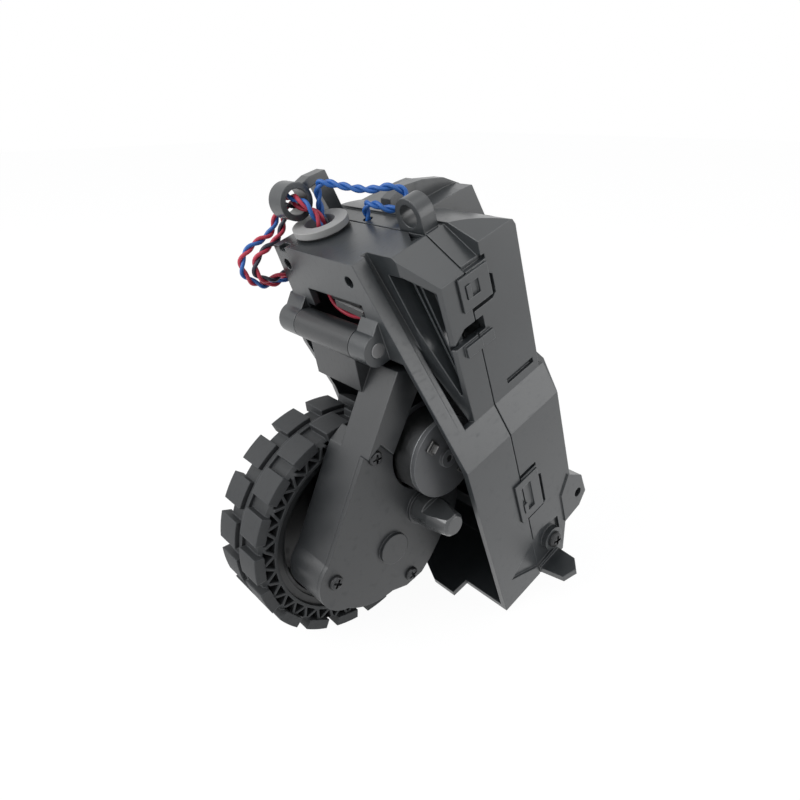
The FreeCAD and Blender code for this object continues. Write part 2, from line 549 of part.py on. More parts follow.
def make_rear_shell():
    shell = body("rear_shell")
    retracted = tuple(float(value) for value in swung(AXIS, SWING))
    pad(shell, "block", "YZ_Plane", outer_outline(SHOULDERED), SEAM, BLOCK_BACK)
    pad(shell, "near_back_block", "XZ_Plane",
        [(BLOCK_BACK - 1.9, -RIDGE_TOP), (BLOCK_BACK - 1.9, -SHOULDER_DROP),
         (BLOCK_BACK, -SHOULDER_DROP), (BLOCK_BACK, arch_point(BLOCK_BACK)),
         Bend((31.0, arch_point(31.0)), (NEAR_BACK - 0.8, arch_point(NEAR_BACK - 0.8))),
         (NEAR_BACK, arch_point(NEAR_BACK) - 1.2), (NEAR_BACK, -RIDGE_TOP)],
        -UPPER, -SHOULDER)
    pad(shell, "low_back_block", "YZ_Plane",
        [(-SHOULDER, -RIDGE_TOP), (-UPPER, -RIDGE_TOP), (-LOWER, -RIDGE_LOW),
         (-LOWER, -LENGTH), (-SHOULDER, -LENGTH)], BLOCK_BACK, LOW_BACK)
    cut(shell, "near_back_slope", "YZ_Plane",
        [(-SHOULDER, 1.2), (-UPPER, BACK_EDGE), (-UPPER - 1.0, BACK_EDGE), (-UPPER - 1.0, 3.0),
         (-SHOULDER, 3.0)], 23.0, NEAR_BACK + 1.0)
    cut(shell, "low_back_slope", "XZ_Plane",
        [(LOW_BACK + 1.0, -TAPER), (LOW_BACK, -TAPER), (31.0, -LENGTH),
         (31.0, -LENGTH - 1.0), (LOW_BACK + 1.0, -LENGTH - 1.0)], -LOWER - 1.0, -SHOULDER)
    arch = [(BLOCK_BACK, -LENGTH), (BLOCK_BACK, arch_point(BLOCK_BACK)),
            Bend((36.0, arch_point(36.0)), (46.0, arch_point(46.0))),
            (ARCH_UPPER, arch_point(46.0) - 3.0), (ARCH_UPPER + 0.2, -RIDGE_TOP + 13.0),
            (ARCH_UPPER + 1.0, -RIDGE_TOP - 5.5), (ARCH_UPPER + 3.8, -RIDGE_LOW),
            (ARCH_UPPER + 7.8, retracted[1] + 4.6), (ARCH_UPPER + 7.8, retracted[1]),
            Bend(on_circle(retracted, 39.1, -45.0), (30.0, -LENGTH + 5.8)),
            (28.0, -LENGTH)]
    pad(shell, "wheel_arch", "XZ_Plane", arch, -SHOULDER, FAR)
    well = [(WELL_FRONT, -20.0), (WELL_FRONT, -1.4), (46.0, -1.9), (50.2, -2.4), (52.9, -12.7),
            (ARCH_BACK - 2.0, -36.0), (ARCH_BACK, -62.0), (ARCH_BACK, retracted[1]),
            Bend(on_circle(retracted, 41.6, -45.0), (30.0, -LENGTH + 3.8)),
            (28.0, -LENGTH), (26.0, -LENGTH)]
    pad(shell, "wheel_well", "XZ_Plane", well, WELL_NEAR, FAR)
    pad(shell, "hump", "XZ_Plane",
        [(24.5, -3.0), (26.5, 3.2), (32.0, 4.6), (39.0, 3.4), (46.5, 0.8), (52.0, -3.2),
         (52.0, -16.0), (30.0, -16.0)], 14.0, 18.0)
    cut(shell, "block_room", "YZ_Plane", inner_outline(SHOULDERED_IN), SEAM,
        BLOCK_BACK)
    cut(shell, "near_room", "XZ_Plane",
        rectangle(BLOCK_BACK, -RIDGE_TOP - 1.5, NEAR_BACK - WALL, -SHOULDER_DROP - 1.2),
        -UPPER + WALL, -SHOULDER + WALL)
    cut(shell, "low_room", "XZ_Plane",
        [(BLOCK_BACK, -RIDGE_TOP - 1.0), (LOW_BACK - WALL, -RIDGE_TOP - 1.0),
         (LOW_BACK - WALL, -TAPER + 0.5), (27.0, -LENGTH + WALL),
         (BLOCK_BACK, -LENGTH + WALL)],
        -UPPER + WALL, -SHOULDER + WALL)
    cut(shell, "low_side_room", "XZ_Plane",
        [(BLOCK_BACK, -RIDGE_LOW - 0.4), (LOW_BACK - WALL, -RIDGE_LOW - 0.4),
         (LOW_BACK - WALL, -TAPER + 0.5), (29.3, -LENGTH + WALL),
         (BLOCK_BACK, -LENGTH + WALL)],
        -LOWER + WALL, -UPPER + WALL)
    arch_in = [(BLOCK_BACK, -LENGTH + WALL), (BLOCK_BACK, arch_point(BLOCK_BACK) - WALL),
               Bend((35.4, arch_point(35.4) - WALL), (44.6, arch_point(46.0) - 1.4)),
               (ARCH_UPPER - WALL, arch_point(46.0) - 4.0),
               (ARCH_UPPER + 0.2 - WALL, -RIDGE_TOP + 12.6),
               (ARCH_UPPER + 1.0 - WALL, -RIDGE_TOP - 6.1),
               (ARCH_UPPER + 3.8 - WALL, -RIDGE_LOW - 0.6),
               (ARCH_UPPER + 7.8 - WALL, retracted[1] + 4.2),
               (ARCH_UPPER + 7.8 - WALL, retracted[1]),
               Bend(on_circle(retracted, 37.1, -45.0), (27.3, -LENGTH + WALL + 4.6)),
               (26.0, -LENGTH + WALL)]
    cut(shell, "arch_room", "XZ_Plane", arch_in, -SHOULDER + WALL, FAR - WALL)
    cut(shell, "well_room", "XZ_Plane",
        [(WELL_FRONT + WALL, -20.0), (WELL_FRONT + WALL, -3.6), (46.0, -4.0),
         (48.4, -4.4), (50.8, -12.9), (ARCH_BACK - 2.0 - WALL, -36.4), (ARCH_BACK - WALL, -62.2),
         (ARCH_BACK - WALL, retracted[1]),
         Bend(on_circle(retracted, 39.6, -45.0), (27.3, -LENGTH + WALL + 2.6)),
         (27.0, -LENGTH + WALL)], WELL_NEAR + WALL, FAR - WALL)
    cut(shell, "switch_lead_hole", "XY_Plane", {"circles": [(SWITCH_LEADS_IN, LEAD_HOLE)]},
        -LEAD_HOLE_DEPTH, 0.0)
    eye = (EAR_ACROSS, EAR_EYE)
    ear = [(eye[0] - EAR, -1.0), (eye[0] - EAR, eye[1]),
           Bend(on_circle(eye, EAR, 135.0), on_circle(eye, EAR, 90.0)),
           Bend(on_circle(eye, EAR, 45.0), (eye[0] + EAR, eye[1])), (eye[0] + EAR, -1.0)]
    pad(shell, "ear", "YZ_Plane", ear, SEAM, SEAM + EAR_THICK)
    cut(shell, "ear_hole", "YZ_Plane", {"circles": [(eye, EAR_HOLE)]}, SEAM,
        SEAM + EAR_THICK)
    pad(shell, "hook_post", "XZ_Plane",
        [(SEAM + 0.3, -1.0), (22.5, -1.0), (20.6, 12.6), (15.4, 12.9), (12.4, 12.2), (12.0, 9.8),
         (16.4, 10.4)], 31.0, 35.0)
    pad(shell, "hook_ring", "XZ_Plane", {"circles": [(HOOK, HOOK_OUT), (HOOK, HOOK_IN)]},
        30.0, 36.0)
    pad(shell, "mounting_ear", "XZ_Plane",
        [(LOW_BACK - 1.0, -93.0), (45.2, -98.6), (46.2, -107.0), (42.0, -110.6),
         (34.0, -111.4), (34.0, -99.0)], -LOWER - 0.5, -LOWER + 5.0)
    cut(shell, "mounting_hole", "XZ_Plane", {"circles": [(SIDE_EAR, SIDE_EAR_HOLE)]},
        -LOWER - 1.0, -LOWER + 7.0)
    slot_front = LATCH_BACK + 0.2
    for name, face, low, high in LATCHES:
        pad(shell, name + "_latch", "XZ_Plane", rectangle(LATCH_FRONT, low, LATCH_BACK, high),
            face - LATCH_RISE, face - 0.1)
        pad(shell, name + "_latch_root", "XZ_Plane",
            rectangle(LATCH_BACK - 4.2, low, LATCH_BACK, high), face - 0.5, face + 0.5)
        cut(shell, name + "_latch_eye", "XZ_Plane",
            rectangle(LATCH_FRONT + 1.7, low + 2.8, LATCH_BACK - 3.8, high - 2.4),
            face - LATCH_RISE - 0.1, face - 0.1)
        cut(shell, name + "_latch_slot", "XZ_Plane",
            [(slot_front, high - 3.4), (slot_front + 1.6, high - 4.4),
             (slot_front + 1.6, low - 0.6), (slot_front, low - 1.6), (SEAM, low - 1.6),
             (SEAM, low - 0.2), (slot_front, low - 0.2)], face, face + SLOT_DEPTH)
        cut(shell, name + "_latch_notch", "XZ_Plane",
            rectangle(SEAM, high + 0.4, slot_front + 0.2, high + 1.8), face,
            face + SLOT_DEPTH)
    pad(shell, "latch_rib", "XZ_Plane", rectangle(SEAM, -SIDE_RIB_LOW, 22.8, -SIDE_RIB_TOP),
        -UPPER - SIDE_RIB_RISE, -UPPER + 0.5)
    cut(shell, "latch_opening", "XZ_Plane",
        rectangle(SEAM, -SIDE_OPENING_LOW, 21.0, -SIDE_OPENING_TOP), -UPPER, -UPPER + WALL)
    cut(shell, "back_slots", "XZ_Plane", rectangle(24.6, -46.4, 36.0, -44.6),
        -UPPER, -UPPER + 1.0)
    cut(shell, "boss_recess", "XZ_Plane",
        [(SEAM, -BOSS_RECESS_TOP), (22.0, -104.0), (31.0, -106.0), (31.0, -119.0),
         (SEAM, -BOSS_RECESS_LOW)], -LOWER, -LOWER + BOSS_RECESS)
    pad(shell, "screw_boss", "XZ_Plane", {"circles": [(BOSS_SCREW, 4.2)]}, -LOWER - 1.2,
        -LOWER + 9.0)
    cut(shell, "screw_bore", "XZ_Plane", {"circles": [(BOSS_SCREW, SCREW + RUNNING)]},
        -LOWER - 1.2, -LOWER + 8.0)
    pad(shell, "bottom_tab", "XY_Plane",
        [(SEAM + 0.1, -LOWER + 1.0), (29.0, -LOWER + 1.0), (28.4, -LOWER - 7.0),
         (25.0, -LOWER - 10.0), (20.0, -LOWER - 8.4)], -LENGTH, -LENGTH + 2.4)
    finish(shell)


def make_hinge_pin():
    pin = body("hinge_pin")
    pad(pin, "rod", "XZ_Plane", {"circles": [((0.0, 0.0), PIN)]}, KNUCKLE_NEAR, KNUCKLE_FAR)
    finish(pin, HINGE)


def make_grommet():
    grommet = body("wire_grommet")
    pad(grommet, "flange", "XY_Plane",
        {"circles": [(GROMMET, GROMMET_FLANGE), (GROMMET, GROMMET_HOLE)]}, COLLAR,
        COLLAR + 1.8)
    pad(grommet, "neck", "XY_Plane", {"circles": [(GROMMET, GROMMET_HOLE + 0.8)]}, -WALL,
        COLLAR + 0.5)
    cut(grommet, "cup", "XY_Plane", {"circles": [(GROMMET, GROMMET_HOLE)]}, CORD_LEVEL,
        COLLAR + 0.5)
    finish(grommet)


def make_drop_switch():
    """The small switch behind the window that tells when the wheel hangs down."""
    switch = body("drop_switch")
    pad(switch, "case", "YZ_Plane", rectangle(SWITCH_Y, SWITCH_Z, SWITCH_Y + 12.6,
                                              SWITCH_Z + 5.6), 3.2, 9.4)
    pad(switch, "terminals", "XZ_Plane",
        rectangle(5.6, SWITCH_Z + 1.2, 6.0, SWITCH_Z + 4.0), SWITCH_Y + 12.6,
        SWITCH_Y + 15.4)
    finish(switch)
    lever = body("switch_lever")
    tip = 11.4 * math.tan(math.radians(SWITCH_TILT))
    pad(lever, "blade", "YZ_Plane",
        [(0.0, 0.2), (0.0, -0.2), (-11.4, -0.2 - tip), (-11.4, 0.2 - tip)], 4.4, 8.2)
    pad(lever, "pivot", "YZ_Plane", {"circles": [((0.0, 0.0), LEVER_PIVOT)]}, 4.0, 8.6)
    finish(lever, (0.0, SWITCH_Z - LEVER_PIVOT - 0.15), SWITCH_Y + 12.2)


def make_torsion_spring():
    """The spring round the hinge pin that presses the wheel down."""
    spring = body("torsion_spring")
    start, turns, pitch = BARREL_NEAR + 4.0, 6.0, 2.8
    profile = sketch_on(spring, "wire_section", "XY_Plane", 0.0)
    circle(profile, (SPRING_COIL, start), SPRING_WIRE)
    coil = spring.newObject("PartDesign::AdditiveHelix", "coil")
    coil.Profile = profile
    coil.ReferenceAxis = (profile, ["V_Axis"])
    coil.Mode = 0
    coil.Pitch = pitch
    coil.Height = pitch * turns
    spring.Tip = coil
    finish(spring, HINGE)


def make_boss_screw():
    screw = body("boss_screw")
    pad(screw, "head", "XZ_Plane", {"circles": [((0.0, 0.0), 2.8)]}, -LOWER - 2.9,
        -LOWER - 1.2)
    pad(screw, "shank", "XZ_Plane", {"circles": [((0.0, 0.0), SCREW)]}, -LOWER - 1.2,
        -LOWER + 6.0)
    finish(screw, BOSS_SCREW)


# The arm

def from_axis(across, up):
    """A point given from the wheel axis."""
    return (AXLE_X + across, AXLE_Z + up)


BOX_OUTLINE = [
    from_axis(7.7, 36.1), from_axis(2.4, 34.5), from_axis(-19.6, 12.0),
    Bend(from_axis(-25.4, 4.3), from_axis(-20.1, -6.2)),
    Bend(from_axis(-14.1, -11.9), from_axis(-5.6, -14.9)),
    from_axis(-0.6, -17.9), from_axis(5.9, -18.3), from_axis(11.2, -15.7),
    from_axis(17.5, -11.3), Bend(from_axis(27.3, -2.4), from_axis(27.0, 10.5)),
    from_axis(23.9, 16.3), from_axis(11.9, 26.3)]
SCREWS = [from_axis(5.5, 32.1), from_axis(-19.7, 5.7), from_axis(2.2, -14.9)]
MOTOR_SCREWS = [on_circle(MOTOR, 8.0, 82.0), on_circle(MOTOR, 8.0, -38.0)]
BOX_LIP = COVER_FACE + COVER_WALL
FLOOR = BOX_FAR - BOX_WALL
STOP_PEG = (-7.0, -75.0)


def make_gearbox_housing():
    housing = body("gearbox_housing")
    pad(housing, "box", "XZ_Plane", BOX_OUTLINE, BOX_LIP, BOX_FAR)
    pad(housing, "motor_ring", "XZ_Plane", {"circles": [(MOTOR, CUP)]}, BOX_LIP, BOX_FAR)
    doc.recompute()
    base = housing.Tip
    mouth = ["Face%d" % (i + 1) for i, face in enumerate(base.Shape.Faces)
             if abs(face.CenterOfMass.y - float(BOX_LIP)) < 0.01
             and face.Surface.TypeId == "Part::GeomPlane"]
    hollow = housing.newObject("PartDesign::Thickness", "hollow")
    hollow.Base = (base, mouth)
    hollow.Value = float(BOX_WALL)
    hollow.setExpression("Value", text(BOX_WALL))
    hollow.Reversed = True
    hollow.Join = 0
    housing.Tip = hollow
    pad(housing, "neck", "XZ_Plane",
        [(HINGE_X + 1.4, HINGE_Z - 6.5), from_axis(2.4, 34.5), from_axis(7.7, 28.3),
         (HINGE_X + 7.1, HINGE_Z - 14.0), (HINGE_X + 5.8, HINGE_Z - 8.5)],
        NECK_NEAR, NECK_FAR)
    cut(housing, "cover_seat", "XZ_Plane", BOX_OUTLINE, NECK_NEAR - 1.0, BOX_LIP)
    pad(housing, "barrel", "XZ_Plane", {"circles": [(HINGE, BARREL)]}, BARREL_NEAR,
        BARREL_FAR)
    pad(housing, "web", "XZ_Plane",
        [(HINGE_X - 3.3, HINGE_Z - 2.0), (HINGE_X - 5.0, HINGE_Z - 12.4),
         (HINGE_X - 2.0, HINGE_Z - 14.6), (HINGE_X + 4.0, HINGE_Z - 2.0)], BARREL_NEAR, 24.0)
    cut(housing, "knuckle_room", "XZ_Plane", {"circles": [(HINGE, BARREL + 0.5)]},
        NECK_NEAR - 1.0, BARREL_NEAR)
    cut(housing, "pin_bore", "XZ_Plane", {"circles": [(HINGE, PIN + RUNNING)]},
        BARREL_NEAR, BARREL_FAR)
    cut(housing, "spring_room", "XZ_Plane", {"circles": [(HINGE, SPRING_ROOM)]},
        BARREL_NEAR, BARREL_NEAR + 22.0)
    pad(housing, "bearing_boss", "XZ_Plane", {"circles": [(AXIS, BEARING + 1.6)]},
        BOX_FAR - 0.2, BOSS_FAR)
    cut(housing, "bearing_seat", "XZ_Plane", {"circles": [(AXIS, BEARING + PRESS)]},
        BOX_FAR, BOSS_FAR)
    cut(housing, "axle_hole", "XZ_Plane", {"circles": [(AXIS, AXLE + 0.6)]}, FLOOR,
        BOX_FAR)
    posts = [(place, SCREW + 1.1) for place in SCREWS]
    pad(housing, "screw_posts", "XZ_Plane", {"circles": posts}, BOX_LIP, FLOOR + 0.2)
    cut(housing, "screw_bores", "XZ_Plane",
        {"circles": [(place, SCREW + RUNNING) for place in SCREWS]}, BOX_LIP,
        COVER_FACE + SCREW_LONG + 0.5)
    pad(housing, "motor_seats", "XZ_Plane",
        {"circles": [(place, 2.2) for place in MOTOR_SCREWS]}, CAN_FAR, FLOOR + 0.2)
    cut(housing, "motor_screw_bores", "XZ_Plane",
        {"circles": [(place, SCREW + RUNNING) for place in MOTOR_SCREWS]}, CAN_FAR,
        BOX_FAR)
    pad(housing, "shaft_seats", "XZ_Plane",
        {"circles": [(FIRST, 2.2), (SECOND, 2.2)]}, FLOOR - 0.3, FLOOR + 0.2)
    cut(housing, "shaft_bores", "XZ_Plane",
        {"circles": [(FIRST, GEAR_SHAFT + PRESS), (SECOND, GEAR_SHAFT + PRESS)]},
        FLOOR - 0.3, FLOOR + 0.8)
    finish(housing)


def make_gearbox_cover():
    cover = body("gearbox_cover")
    pad(cover, "plate", "XZ_Plane", BOX_OUTLINE, COVER_FACE, BOX_LIP)
    cut(cover, "motor_gap", "XZ_Plane", {"circles": [(MOTOR, CUP - 0.9)]},
        COVER_FACE, BOX_LIP)
    pad(cover, "bush_boss", "XZ_Plane", {"circles": [(AXIS, BUSH + 0.9)]},
        COVER_FACE - 1.2, COVER_FACE + 0.5)
    cut(cover, "bush_seat", "XZ_Plane", {"circles": [(AXIS, BUSH + PRESS)]},
        COVER_FACE - 0.2, BOX_LIP)
    cut(cover, "screw_holes", "XZ_Plane",
        {"circles": [(place, SCREW + 0.2) for place in SCREWS]}, COVER_FACE, BOX_LIP)
    pad(cover, "peg_boss", "XZ_Plane", {"circles": [(STOP_PEG, 5.6)]}, COVER_FACE - 1.0,
        COVER_FACE + 0.5)
    finish(cover)


def make_arm_screws():
    screws = body("cover_screws")
    pad(screws, "heads", "XZ_Plane", {"circles": [(place, SCREW_HEAD) for place in SCREWS]},
        COVER_FACE - 1.3, COVER_FACE)
    pad(screws, "shanks", "XZ_Plane", {"circles": [(place, SCREW) for place in SCREWS]},
        COVER_FACE - 0.5, COVER_FACE + SCREW_LONG)
    finish(screws)
    inner = body("motor_screws")
    pad(inner, "heads", "XZ_Plane",
        {"circles": [(place, 2.0) for place in MOTOR_SCREWS]}, BOX_FAR, BOX_FAR + 0.5)
    pad(inner, "shanks", "XZ_Plane",
        {"circles": [(place, SCREW) for place in MOTOR_SCREWS]}, CAN_FAR + 0.1,
        BOX_FAR + 0.2)
    finish(inner)


def make_stop_peg():
    """The tapered peg beside the cover that limits the arm's travel."""
    peg = body("stop_peg")
    low = COVER_FACE - 1.0
    spin(peg, "cone", [(0.0, low), (5.0, low), (4.8, low - 6.0), (3.6, low - 12.4),
                       (2.8, low - 13.2), (0.0, low - 13.2)])
    cut(peg, "flat", "XZ_Plane", rectangle(-6.0, 3.3, 6.0, 7.0), low - 14.0, low - 4.0)
    finish(peg, STOP_PEG)


def make_motor():
    can = body("motor_can")
    back = CAN_NEAR + 1.5
    pad(can, "can", "XZ_Plane", {"circles": [((0.0, 0.0), CAN)]}, back, CAN_FAR)
    cut(can, "room", "XZ_Plane", {"circles": [((0.0, 0.0), CAN - CAN_WALL)]},
        back, CAN_FAR - CAN_WALL)
    cut(can, "shaft_hole", "XZ_Plane", {"circles": [((0.0, 0.0), MOTOR_SHAFT + 0.6)]},
        CAN_FAR - CAN_WALL, CAN_FAR)
    finish(can, MOTOR)
    cap = body("motor_end_cap")
    pad(cap, "disc", "XZ_Plane", {"circles": [((0.0, 0.0), CAN)]}, CAN_NEAR, back)
    pad(cap, "plug", "XZ_Plane", {"circles": [((0.0, 0.0), CAN - CAN_WALL - 0.1)]},
        back - 0.5, back + 1.4)
    pad(cap, "bearing_boss", "XZ_Plane", {"circles": [((0.0, 0.0), 2.8)]},
        CAN_NEAR - 1.0, CAN_NEAR + 0.5)
    cut(cap, "shaft_bore", "XZ_Plane", {"circles": [((0.0, 0.0), MOTOR_SHAFT + RUNNING)]},
        CAN_NEAR - 1.0, back + 1.4)
    finish(cap, MOTOR)
    magnets = body("motor_magnets")
    outer, inner = CAN - CAN_WALL - 0.05, CAN - CAN_WALL - 1.8
    magnet = [on_circle((0.0, 0.0), outer, -60.0),
              Bend(on_circle((0.0, 0.0), outer, 0.0), on_circle((0.0, 0.0), outer, 60.0)),
              on_circle((0.0, 0.0), inner, 60.0),
              Bend(on_circle((0.0, 0.0), inner, 0.0), on_circle((0.0, 0.0), inner, -60.0))]
    one = pad(magnets, "magnet", "XZ_Plane", magnet, back + 2.4, CAN_FAR - 1.8, 90.0)
    ring_of(magnets, "pair", [one], 2)
    finish(magnets, MOTOR)
    rotor = body("motor_rotor")
    pad(rotor, "core", "XZ_Plane", {"circles": [((0.0, 0.0), inner - 0.7)]}, back + 3.0,
        CAN_FAR - 2.4)
    pad(rotor, "shaft", "XZ_Plane", {"circles": [((0.0, 0.0), MOTOR_SHAFT)]},
        CAN_NEAR - 0.8, 6.6)
    finish(rotor, MOTOR)


def toothed(part, name, module, count, low, high, towards):
    """A spur gear rim on the body's axis, with one tooth pointing in a direction."""
    pitch = module * count / 2
    root, tip = pitch - module * 1.25, pitch + module * 0.95
    half = module * math.pi / 4 - BACKLASH / 4
    half_root, half_tip = half + module * 0.2, half - module * 0.45
    pad(part, name + "_blank", "XZ_Plane", {"circles": [((0.0, 0.0), root)]}, low, high)
    tooth = pad(part, name + "_tooth", "XZ_Plane",
                [(root - 0.3, -half_root), (root + 0.1, -half_root), (pitch, -half),
                 (tip, -half_tip), (tip, half_tip), (pitch, half),
                 (root + 0.1, half_root), (root - 0.3, half_root)], low, high, towards)
    ring_of(part, name + "_teeth", [tooth], count)


def make_gears():
    half_step = 180.0
    pinion = body("motor_pinion")
    toothed(pinion, "pinion", MODULE_1, TEETH_MOTOR, 4.5, 6.4,
            bearing_of(MOTOR, FIRST) + half_step / TEETH_MOTOR)
    cut(pinion, "bore", "XZ_Plane", {"circles": [((0.0, 0.0), MOTOR_SHAFT + PRESS)]},
        4.5, 6.4)
    finish(pinion, MOTOR)
    first = body("first_gear")
    toothed(first, "wheel", MODULE_1, TEETH_FIRST, 4.7, 6.2, bearing_of(FIRST, MOTOR))
    toothed(first, "pinion", MODULE_2, TEETH_FIRST_PINION, 6.1, 8.6,
            bearing_of(FIRST, SECOND) + half_step / TEETH_FIRST_PINION)
    cut(first, "bore", "XZ_Plane", {"circles": [((0.0, 0.0), GEAR_SHAFT + RUNNING)]},
        4.7, 8.6)
    finish(first, FIRST)
    second = body("second_gear")
    toothed(second, "wheel", MODULE_2, TEETH_SECOND, 6.8, 8.4, bearing_of(SECOND, FIRST))
    toothed(second, "pinion", MODULE_3, TEETH_SECOND_PINION, -1.8, 3.0,
            bearing_of(SECOND, AXIS) + half_step / TEETH_SECOND_PINION)
    pad(second, "hub", "XZ_Plane", {"circles": [((0.0, 0.0), 1.8)]}, 2.8, 7.0)
    cut(second, "bore", "XZ_Plane", {"circles": [((0.0, 0.0), GEAR_SHAFT + RUNNING)]},
        -1.8, 8.4)
    finish(second, SECOND)
    output = body("output_gear")
    toothed(output, "rim", MODULE_3, TEETH_OUTPUT, -1.6, 2.8, bearing_of(AXIS, SECOND))
    cut(output, "bore", "XZ_Plane", {"circles": [((0.0, 0.0), AXLE + PRESS)]}, -1.6, 2.8)
    finish(output, AXIS)
    shafts = body("gear_shafts")
    pad(shafts, "first_pin", "XZ_Plane", {"circles": [(FIRST, GEAR_SHAFT)]}, 4.5,
        FLOOR + 0.8)
    pad(shafts, "second_pin", "XZ_Plane", {"circles": [(SECOND, GEAR_SHAFT)]},
        BOX_LIP + 0.1, FLOOR + 0.8)
    finish(shafts)


def make_axle_parts():
    axle = body("wheel_axle")
    pad(axle, "rod", "XZ_Plane", {"circles": [((0.0, 0.0), AXLE)]}, COVER_FACE - 0.1, 25.0)
    cut(axle, "screw_bore", "XZ_Plane", {"circles": [((0.0, 0.0), SCREW + RUNNING)]},
        18.0, 25.0)
    finish(axle, AXIS)
    bush = body("axle_bush")
    pad(bush, "sleeve", "XZ_Plane",
        {"circles": [((0.0, 0.0), BUSH), ((0.0, 0.0), AXLE + RUNNING)]},
        COVER_FACE - 0.1, -1.9)
    finish(bush, AXIS)
    ball = body("axle_bearing")
    pad(ball, "race", "XZ_Plane",
        {"circles": [((0.0, 0.0), BEARING), ((0.0, 0.0), AXLE + RUNNING)]},
        BOX_FAR, BOX_FAR + BEARING_WIDTH)
    finish(ball, AXIS)
    screw = body("wheel_screw")
    pad(screw, "head", "XZ_Plane", {"circles": [((0.0, 0.0), 3.0)]}, 26.6, 28.2)
    pad(screw, "shank", "XZ_Plane", {"circles": [((0.0, 0.0), SCREW)]}, 19.0, 26.8)
    finish(screw, AXIS)


# The wheel, drawn about its own axis

def make_tyre():
    tyre = body("tyre")
    far = TYRE_NEAR + TYRE_WIDTH
    middle = TYRE_NEAR + TYRE_WIDTH / 2
    spin(tyre, "carcass",
         [(TYRE_IN, TYRE_NEAR + 0.6), (TREAD - 1.4, TYRE_NEAR + 0.6), (TREAD, TYRE_NEAR + 2.4),
          (TREAD, middle - RIB_WIDTH / 2), (TREAD + 1.1, middle - RIB_WIDTH / 2),
          (TREAD + 1.1, middle + RIB_WIDTH / 2), (TREAD, middle + RIB_WIDTH / 2),
          (TREAD, far - 2.4), (TREAD - 1.4, far - 0.6), (TYRE_IN, far - 0.6)])
    half = float(LUG_HALF)
    root = TREAD - 0.8
    lug = [on_circle((0.0, 0.0), root, -half), on_circle((0.0, 0.0), WHEEL, -half),
           Bend(on_circle((0.0, 0.0), WHEEL, 0.0), on_circle((0.0, 0.0), WHEEL, half)),
           on_circle((0.0, 0.0), root, half)]
    step = 360.0 / LUGS
    near = pad(tyre, "near_lug", "XZ_Plane", lug, TYRE_NEAR, middle - 1.3,
               float(LUG_PHASE) + step / 2)
    ring_of(tyre, "near_lugs", [near], LUGS)
    distant = pad(tyre, "far_lug", "XZ_Plane", lug, middle + 1.3, far, float(LUG_PHASE))
    ring_of(tyre, "far_lugs", [distant], LUGS)
    step = 360.0 / TRUSSES
    inner, outer = TRUSS_IN, TRUSS_OUT
    triangle = [on_circle((0.0, 0.0), inner, -0.36 * step),
                on_circle((0.0, 0.0), outer - 0.3, 0.0),
                on_circle((0.0, 0.0), inner, 0.36 * step)]
    other = [on_circle((0.0, 0.0), outer, 0.14 * step),
             on_circle((0.0, 0.0), inner + 0.3, 0.5 * step),
             on_circle((0.0, 0.0), outer, 0.86 * step)]
    one = cut(tyre, "truss_in", "XZ_Plane", triangle, TYRE_NEAR, TYRE_NEAR + TRUSS_DEPTH)
    two = cut(tyre, "truss_out", "XZ_Plane", other, TYRE_NEAR, TYRE_NEAR + TRUSS_DEPTH)
    ring_of(tyre, "trusses", [one, two], TRUSSES)
    finish(tyre, AXIS)


def make_rim():
    rim = body("wheel_rim")
    far = TYRE_NEAR + TYRE_WIDTH
    spin(rim, "rim",
         [(AXLE + PRESS, BOSS_FAR + 0.3), (6.0, BOSS_FAR + 0.3), (7.0, 24.0), (23.6, 24.0),
          (25.2, TYRE_NEAR + 2.4), (26.2, TYRE_NEAR + 2.4), (26.2, TYRE_NEAR + 1.6),
          (TYRE_IN, TYRE_NEAR + 1.6), (TYRE_IN, far - 1.0), (26.6, far - 1.0),
          (25.6, 26.6), (SCREW + 0.2, 26.6), (SCREW + 0.2, 25.1), (AXLE + PRESS, 25.1)])
    finish(rim, AXIS)


# Leads. Each pair comes out of the grommet; two run through the hook ring, turn back
# over the far edge of the end face and hang down beside the far wall to one plug

PLUG = Vector(20.2, 39.3, -61.0)
PLUG_PITCH = 1.3


def over_plug(across, up):
    """A point above the hanging plug, given along the level and the upright."""
    return tuple(PLUG + lean_turn.inverted().multVec(Vector(across, 0, up)))


OUTER_PAIR = [
    (10.0, 25.0, -1.0), (10.0, 25.0, 4.0), (9.2, 27.2, 8.8), (8.6, 31.2, 10.2),
    (8.6, 36.6, 10.1), (7.6, 40.4, 6.6), (3.6, 40.6, 0.8), (-3.6, 40.6, 1.1),
    (-8.8, 40.6, -1.2), (-9.6, 40.6, -5.8), (-6.4, 40.6, -10.4), (-1.6, 40.6, -12.2),
    (4.6, 40.6, -12.6), (13.0, 40.6, -16.8), (22.6, 40.6, -25.4), (28.2, 40.0, -38.4),
    over_plug(PLUG_PITCH, 11.0), over_plug(PLUG_PITCH, 0.0)]
INNER_PAIR = [
    (12.8, 26.2, -1.0), (12.8, 26.2, 2.4), (11.2, 27.6, 5.2), (9.1, 30.2, 7.7),
    (8.6, 37.0, 7.9), (7.6, 38.8, 3.4), (3.6, 38.2, -0.5), (-2.2, 38.0, -0.9),
    (-6.2, 38.0, -2.6), (-7.4, 38.0, -6.4), (-4.4, 38.0, -9.4), (0.2, 38.0, -9.6),
    (5.6, 38.0, -10.6), (12.6, 38.0, -14.2), (20.0, 38.0, -22.0), (24.8, 38.4, -34.6),
    over_plug(-PLUG_PITCH, 13.0), over_plug(-PLUG_PITCH, 0.0)]
